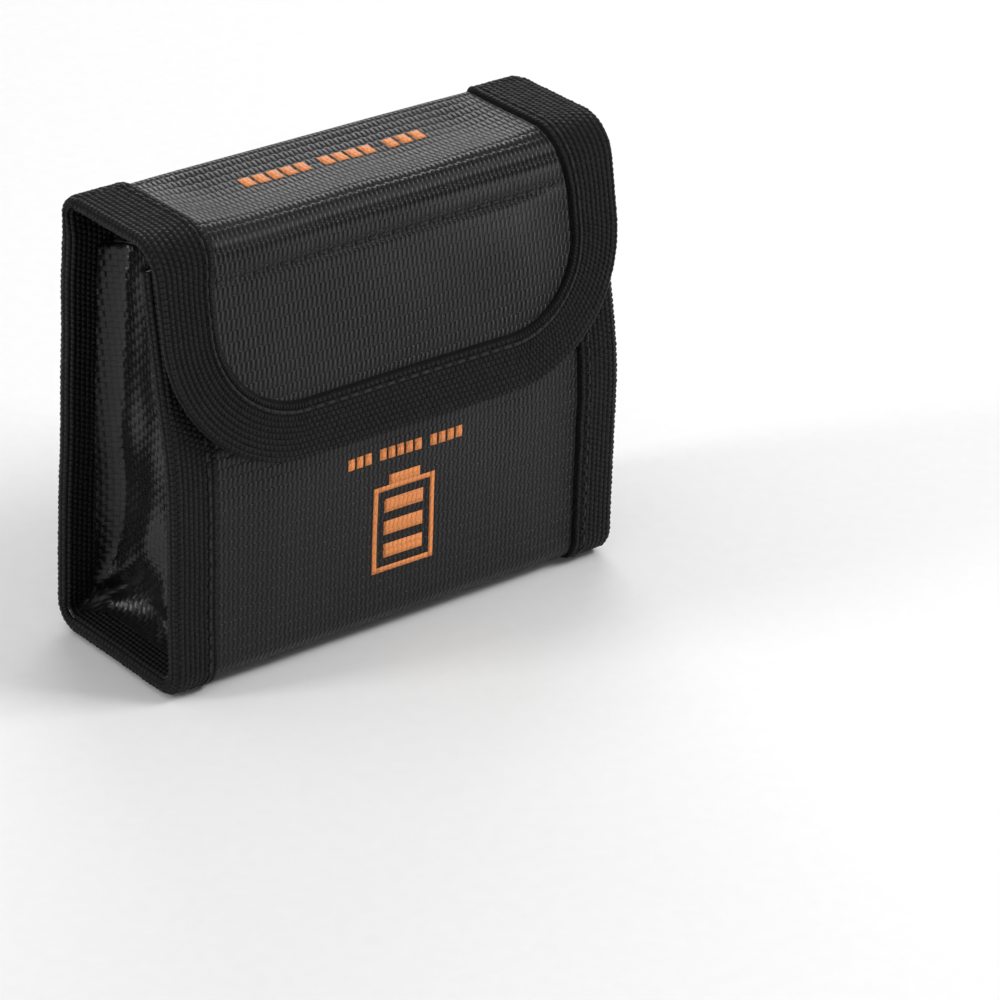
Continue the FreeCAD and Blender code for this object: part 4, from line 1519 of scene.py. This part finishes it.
@dataclass
class Sewing:
    """Every visible row of stitches, and the frayed ends of the webbing."""

    strip: Strip
    finish: dict[str, bpy.types.Material]
    lid: LidAndFlap
    length: float = 2.3 * MM
    pitch: float = 3.0 * MM
    sunk: float = 0.1 * MM
    row_half: float = 41 * MM
    seam_row: float = 8.3 * MM
    edge_row: float = 1.6 * MM
    loop_rows: tuple[float, float] = (2.4 * MM, 27.6 * MM)
    loop_face: float = 0.45 * MM
    frayed: int = 46

    def bits(self) -> Bits:
        """An empty crowd of stitches."""
        return Bits(Bit.STITCH, (self.length, 0.68 * MM, 0.5 * MM), uneven=0.08)

    def across(self, v: float, face: float) -> Bits:
        """A row across the strip.

        Args:
            v: its place along the strip.
            face: its height over the cloth.

        Returns:
            The row of stitches.
        """
        row = self.bits()
        u = np.arange(-self.row_half, self.row_half, self.pitch)
        at = np.full(u.shape, v)
        row.put(self.strip.place(u, at, np.full(u.shape, face)), np.array([1.0, 0, 0]),
                self.strip.up(at))
        return row

    def finish_row(self, row: Bits, name: str, node: str) -> bpy.types.Object:
        """Build a row of stitches that stands for a CAD node."""
        return hang(row.build(name, self.finish["thread"]), "thread", node)

    def seams(self) -> None:
        """Rows near the inner edge of the seams' webbing, front and back."""
        strip = self.strip
        for side, hand in ((-1, "left"), (1, "right")):
            row = self.bits()
            v = np.arange(2 * MM, strip.split - 3 * MM, self.pitch)
            u = np.full(v.shape, side * (strip.half + strip.tape - self.seam_row))
            top = strip.place(u, v, np.full(v.shape, strip.tape - self.sunk))
            row.put(top, strip.onward(v), strip.up(v))
            bend_at_lid(self.finish_row(row, f"{hand}_seam_sewing", f"{hand}_seam_stitches"))

    def edges(self) -> None:
        """The row round the lid and the flap, near the inner edge of their webbing."""
        path, inward, reached = self.lid.edge_path()
        share = 1 + (self.lid.lid_width / self.lid.flap_width - 1) * (1 - reached)
        skip = max(1, int(round(self.pitch / (self.lid.pitch / 4))))
        places = (path + inward * share[:, None] * (self.lid.flap_width - self.edge_row))[::skip]
        steps = np.gradient(places, axis=0)
        steps = steps / np.linalg.norm(steps, axis=1)[:, None]
        u, v = places[:, 0], places[:, 1]
        along = steps[:, :1] * np.array([[1.0, 0, 0]]) + steps[:, 1:] * self.strip.onward(v)
        row = self.bits()
        row.put(self.strip.place(u, v, np.full(u.shape, self.strip.tape - self.sunk)), along,
                self.strip.up(v))
        piece = row.build("edge_sewing", self.finish["thread"])
        hang(piece, "thread", "left_lid_stitches", "right_lid_stitches", "flap_edge_stitches")
        bend_at_flap(piece)

    def fray(self) -> None:
        """Loose yarn ends where the seams' webbing is cut off at the mouth."""
        fluff = Bits(Bit.HOOK, (0.9 * MM, 0.5 * MM, 0.6 * MM), uneven=0.5)
        dice = np.random.default_rng(SEED)
        count = self.frayed
        for side in (-1, 1):
            u = side * (self.strip.half - dice.uniform(-0.4, 8.6, count) * MM)
            face = dice.choice([0.5 * MM, -self.strip.stack - 0.5 * MM], count)
            at = np.zeros(count)
            points = self.strip.place(u, at, face)
            lean = dice.normal(0.0, 0.35, (count, 3))
            fluff.put(points, dice.normal(0.0, 1.0, (count, 3)),
                      -self.strip.onward(at) + lean)
        piece = hang(fluff.build("frayed_ends", self.finish["webbing"]), "webbing")
        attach(piece, "bag")

    def build(self) -> None:
        """Make every row."""
        strip = self.strip
        row = self.across(strip.hook_row, 0.02 * MM)
        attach(self.finish_row(row, "hook_sewing", "hook_strip_stitches"), "flap")
        row, second = (self.across(at, self.loop_face) for at in self.loop_rows)
        row.put(second.points[0], second.along[0], second.up[0])
        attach(self.finish_row(row, "loop_sewing", "loop_strip_stitches"), "bag")
        self.seams()
        self.edges()
        self.fray()


@dataclass
class Marks:
    """Generic orange marks: a row of dashes on the lid, a row and a battery sign in front."""

    strip: Strip
    finish: dict[str, bpy.types.Material]
    ink: float = 0.05 * MM
    patches: list[tuple[Array, Array]] = field(default_factory=list)

    def patch(self, u: float, v: float, wide: float, tall: float) -> None:
        """A rectangle of ink about a flat place.

        Args:
            u: its middle across.
            v: its middle along.
            wide: its width.
            tall: its height.
        """
        across = np.linspace(u - wide / 2, u + wide / 2, max(2, int(wide / MM) + 1))
        along = np.linspace(v - tall / 2, v + tall / 2, max(2, int(tall / MM) + 1))
        self.patches.append(tuple(np.meshgrid(across, along)))

    def outline(self, v: float, wide: float, tall: float, line: float) -> None:
        """The outline of a rectangle, from four patches that don't overlap.

        Args:
            v: its middle along the strip.
            wide: its width.
            tall: its height.
            line: the line's width.
        """
        for side in (-1, 1):
            self.patch(side * (wide - line) / 2, v, line, tall)
            self.patch(0.0, v + side * (tall - line) / 2, wide - 2 * line, line)

    def words(self, v: float, counts: list[int], block: float, tall: float) -> None:
        """A centred row of plain blocks in groups, spaced like the words of a line.

        Args:
            v: the row's place along the strip.
            counts: blocks in each group.
            block: one block's width.
            tall: one block's height.
        """
        gap, space = block * 0.32, block * 1.3
        groups = [count * block + (count - 1) * gap for count in counts]
        start = -(sum(groups) + space * (len(groups) - 1)) / 2
        for count in counts:
            for _ in range(count):
                self.patch(start + block / 2, v, block, tall)
                start += block + gap
            start += space - gap

    def join(self, name: str, node: str) -> bpy.types.Object:
        """One piece from the patches gathered so far, laid on the cloth.

        Args:
            name: the piece's name.
            node: the CAD node that it replaces.

        Returns:
            The object.
        """
        points, faces, flat, count = [], [], [], 0
        for u, v in self.patches:
            top = self.strip.place(u, v, np.full(u.shape, self.ink))
            low = self.strip.place(u, v, np.full(u.shape, -self.ink))
            size = u.size
            over = count + np.arange(size).reshape(u.shape)
            under = over + size
            faces += quads(over) + quads(under, flip=True)
            for end in (0, -1):
                faces += quads(np.stack([over[end], under[end]], axis=1), flip=end != 0)
                faces += quads(np.stack([over[:, end], under[:, end]], axis=1), flip=end == 0)
            points += [top.reshape(-1, 3), low.reshape(-1, 3)]
            flat += [np.stack([u, v], axis=-1).reshape(-1, 2)] * 2
            count += 2 * size
        self.patches = []
        piece = make_piece(name, np.concatenate(points), faces, np.concatenate(flat),
                           self.finish["print_ink"])
        return hang(piece, "print_ink", node)

    def build(self) -> None:
        """Lay the marks on the lid and the front."""
        strip = self.strip
        low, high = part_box("lid_print")
        row = strip.nearest((low[1] + high[1]) / 2, strip.top)
        self.words(row, counts=[5, 4, 3], block=2.5 * MM, tall=3.2 * MM)
        bend_at_flap(self.join("lid_marks", "lid_print"))
        low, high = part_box("front_print")
        row = strip.nearest(strip.front, high[2] - 1.3 * MM)
        self.words(row, counts=[3, 5, 4], block=1.6 * MM, tall=2.4 * MM)
        tall, wide, line = 19 * MM, 15 * MM, 1.1 * MM
        middle = strip.nearest(strip.front, low[2] + tall / 2)
        self.outline(middle, wide, tall, line)
        self.patch(0.0, middle - tall / 2 - line, wide / 2, 2 * line)
        for level in (-1, 0, 1):
            self.patch(0.0, middle + level * 5 * MM, wide - 5 * line, 3 * MM)
        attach(self.join("front_marks", "front_print"), "bag")


@dataclass(frozen=True)
class Lamp:
    """A rectangular soft light: where it hangs, its width and height, and its power."""

    name: str
    place: tuple[float, float, float]
    size: tuple[float, float]
    watts: float


@dataclass
class Studio:
    """Pale floor, soft lights and the camera."""

    position: tuple[float, float, float] = (-0.5164, -0.6796, 0.4527)
    azimuth: float = -39.3
    elevation: float = 26.8
    roll: float = 1.7
    lens: float = 172.0
    room_light: float = 0.13
    lamps: tuple[Lamp, ...] = (
        Lamp("top_soft", place=(-0.1, 0.0, 1.5), size=(2.2, 2.2), watts=13.5),
        Lamp("back_card", place=(0.75, 0.95, 0.62), size=(0.9, 0.5), watts=6.5),
        Lamp("shoulder_card", place=(0.64, -0.54, 0.85), size=(0.5, 0.25), watts=6.5),
        Lamp("front_card", place=(0.66, -0.8, 0.06), size=(0.13, 0.4), watts=4.0),
        Lamp("left_strip", place=(-0.85, 0.25, 0.3), size=(0.2, 0.7), watts=4.5),
    )

    def floor(self) -> None:
        """A wide level floor under the case."""
        bpy.ops.mesh.primitive_plane_add(size=12.0, location=(0, 0, -0.0002))
        ground = bpy.context.object
        ground.name = "floor"
        ground.data.materials.append(finish_floor())

    def light(self, lamp: Lamp) -> None:
        """Hang a soft light that faces the middle of the case.

        Args:
            lamp: the light to hang.
        """
        source = bpy.data.lights.new(lamp.name, "AREA")
        source.shape = "RECTANGLE"
        source.size, source.size_y = lamp.size
        source.energy = lamp.watts
        holder = bpy.data.objects.new(lamp.name, source)
        holder.location = lamp.place
        aim = Vector((0.0, 0.0, 0.05)) - Vector(lamp.place)
        holder.rotation_euler = aim.to_track_quat("-Z", "Y").to_euler()
        bpy.context.scene.collection.objects.link(holder)

    def camera(self) -> None:
        """The camera, level but for a slight roll."""
        view = bpy.data.cameras.new("camera")
        view.lens, view.sensor_width = self.lens, 36.0
        view.clip_start, view.clip_end = 0.05, 50.0
        holder = bpy.data.objects.new("camera", view)
        turn, lift = math.radians(self.azimuth), math.radians(self.elevation)
        back = Vector((math.sin(turn) * math.cos(lift), -math.cos(turn) * math.cos(lift),
                       math.sin(lift)))
        holder.rotation_euler = back.to_track_quat("Z", "Y").to_euler()
        holder.rotation_euler.rotate_axis("Z", math.radians(self.roll))
        holder.location = self.position
        bpy.context.scene.collection.objects.link(holder)
        bpy.context.scene.camera = holder

    def world(self) -> None:
        """Even pale light from all round."""
        world = bpy.data.worlds.new("room")
        world.use_nodes = True
        shade = world.node_tree.nodes["Background"]
        shade.inputs["Color"].default_value = (1.0, 1.0, 1.0, 1.0)
        shade.inputs["Strength"].default_value = self.room_light
        bpy.context.scene.world = world

    def build(self) -> None:
        """Set up the floor, the lights, the room and the camera."""
        bpy.context.scene.view_settings.view_transform = "Standard"
        self.camera()
        self.floor()
        self.world()
        for lamp in self.lamps:
            self.light(lamp)


def main() -> None:
    """Build the case and its studio, and report each piece."""
    logging.basicConfig(level=logging.INFO, format="%(name)s %(message)s")
    Studio().build()
    shared_groups()
    finish = Finishes().make()
    strip = Strip()
    log.info("strip %.1f mm long, split at %.1f", strip.length / MM, strip.split / MM)
    Wrap(strip, finish).build()
    SeamWebbing(strip, finish).build()
    lid = LidAndFlap(strip, finish)
    lid.build()
    for side, hand in ((-1, "left"), (1, "right")):
        Gusset(strip, finish, side, hand).build()
        Wing(finish, side, hand).build()
    Divider(strip, finish).build()
    Fastener(strip, finish).build()
    Sewing(strip, finish, lid).build()
    Marks(strip, finish).build()


if __name__ == "__main__":
    main()
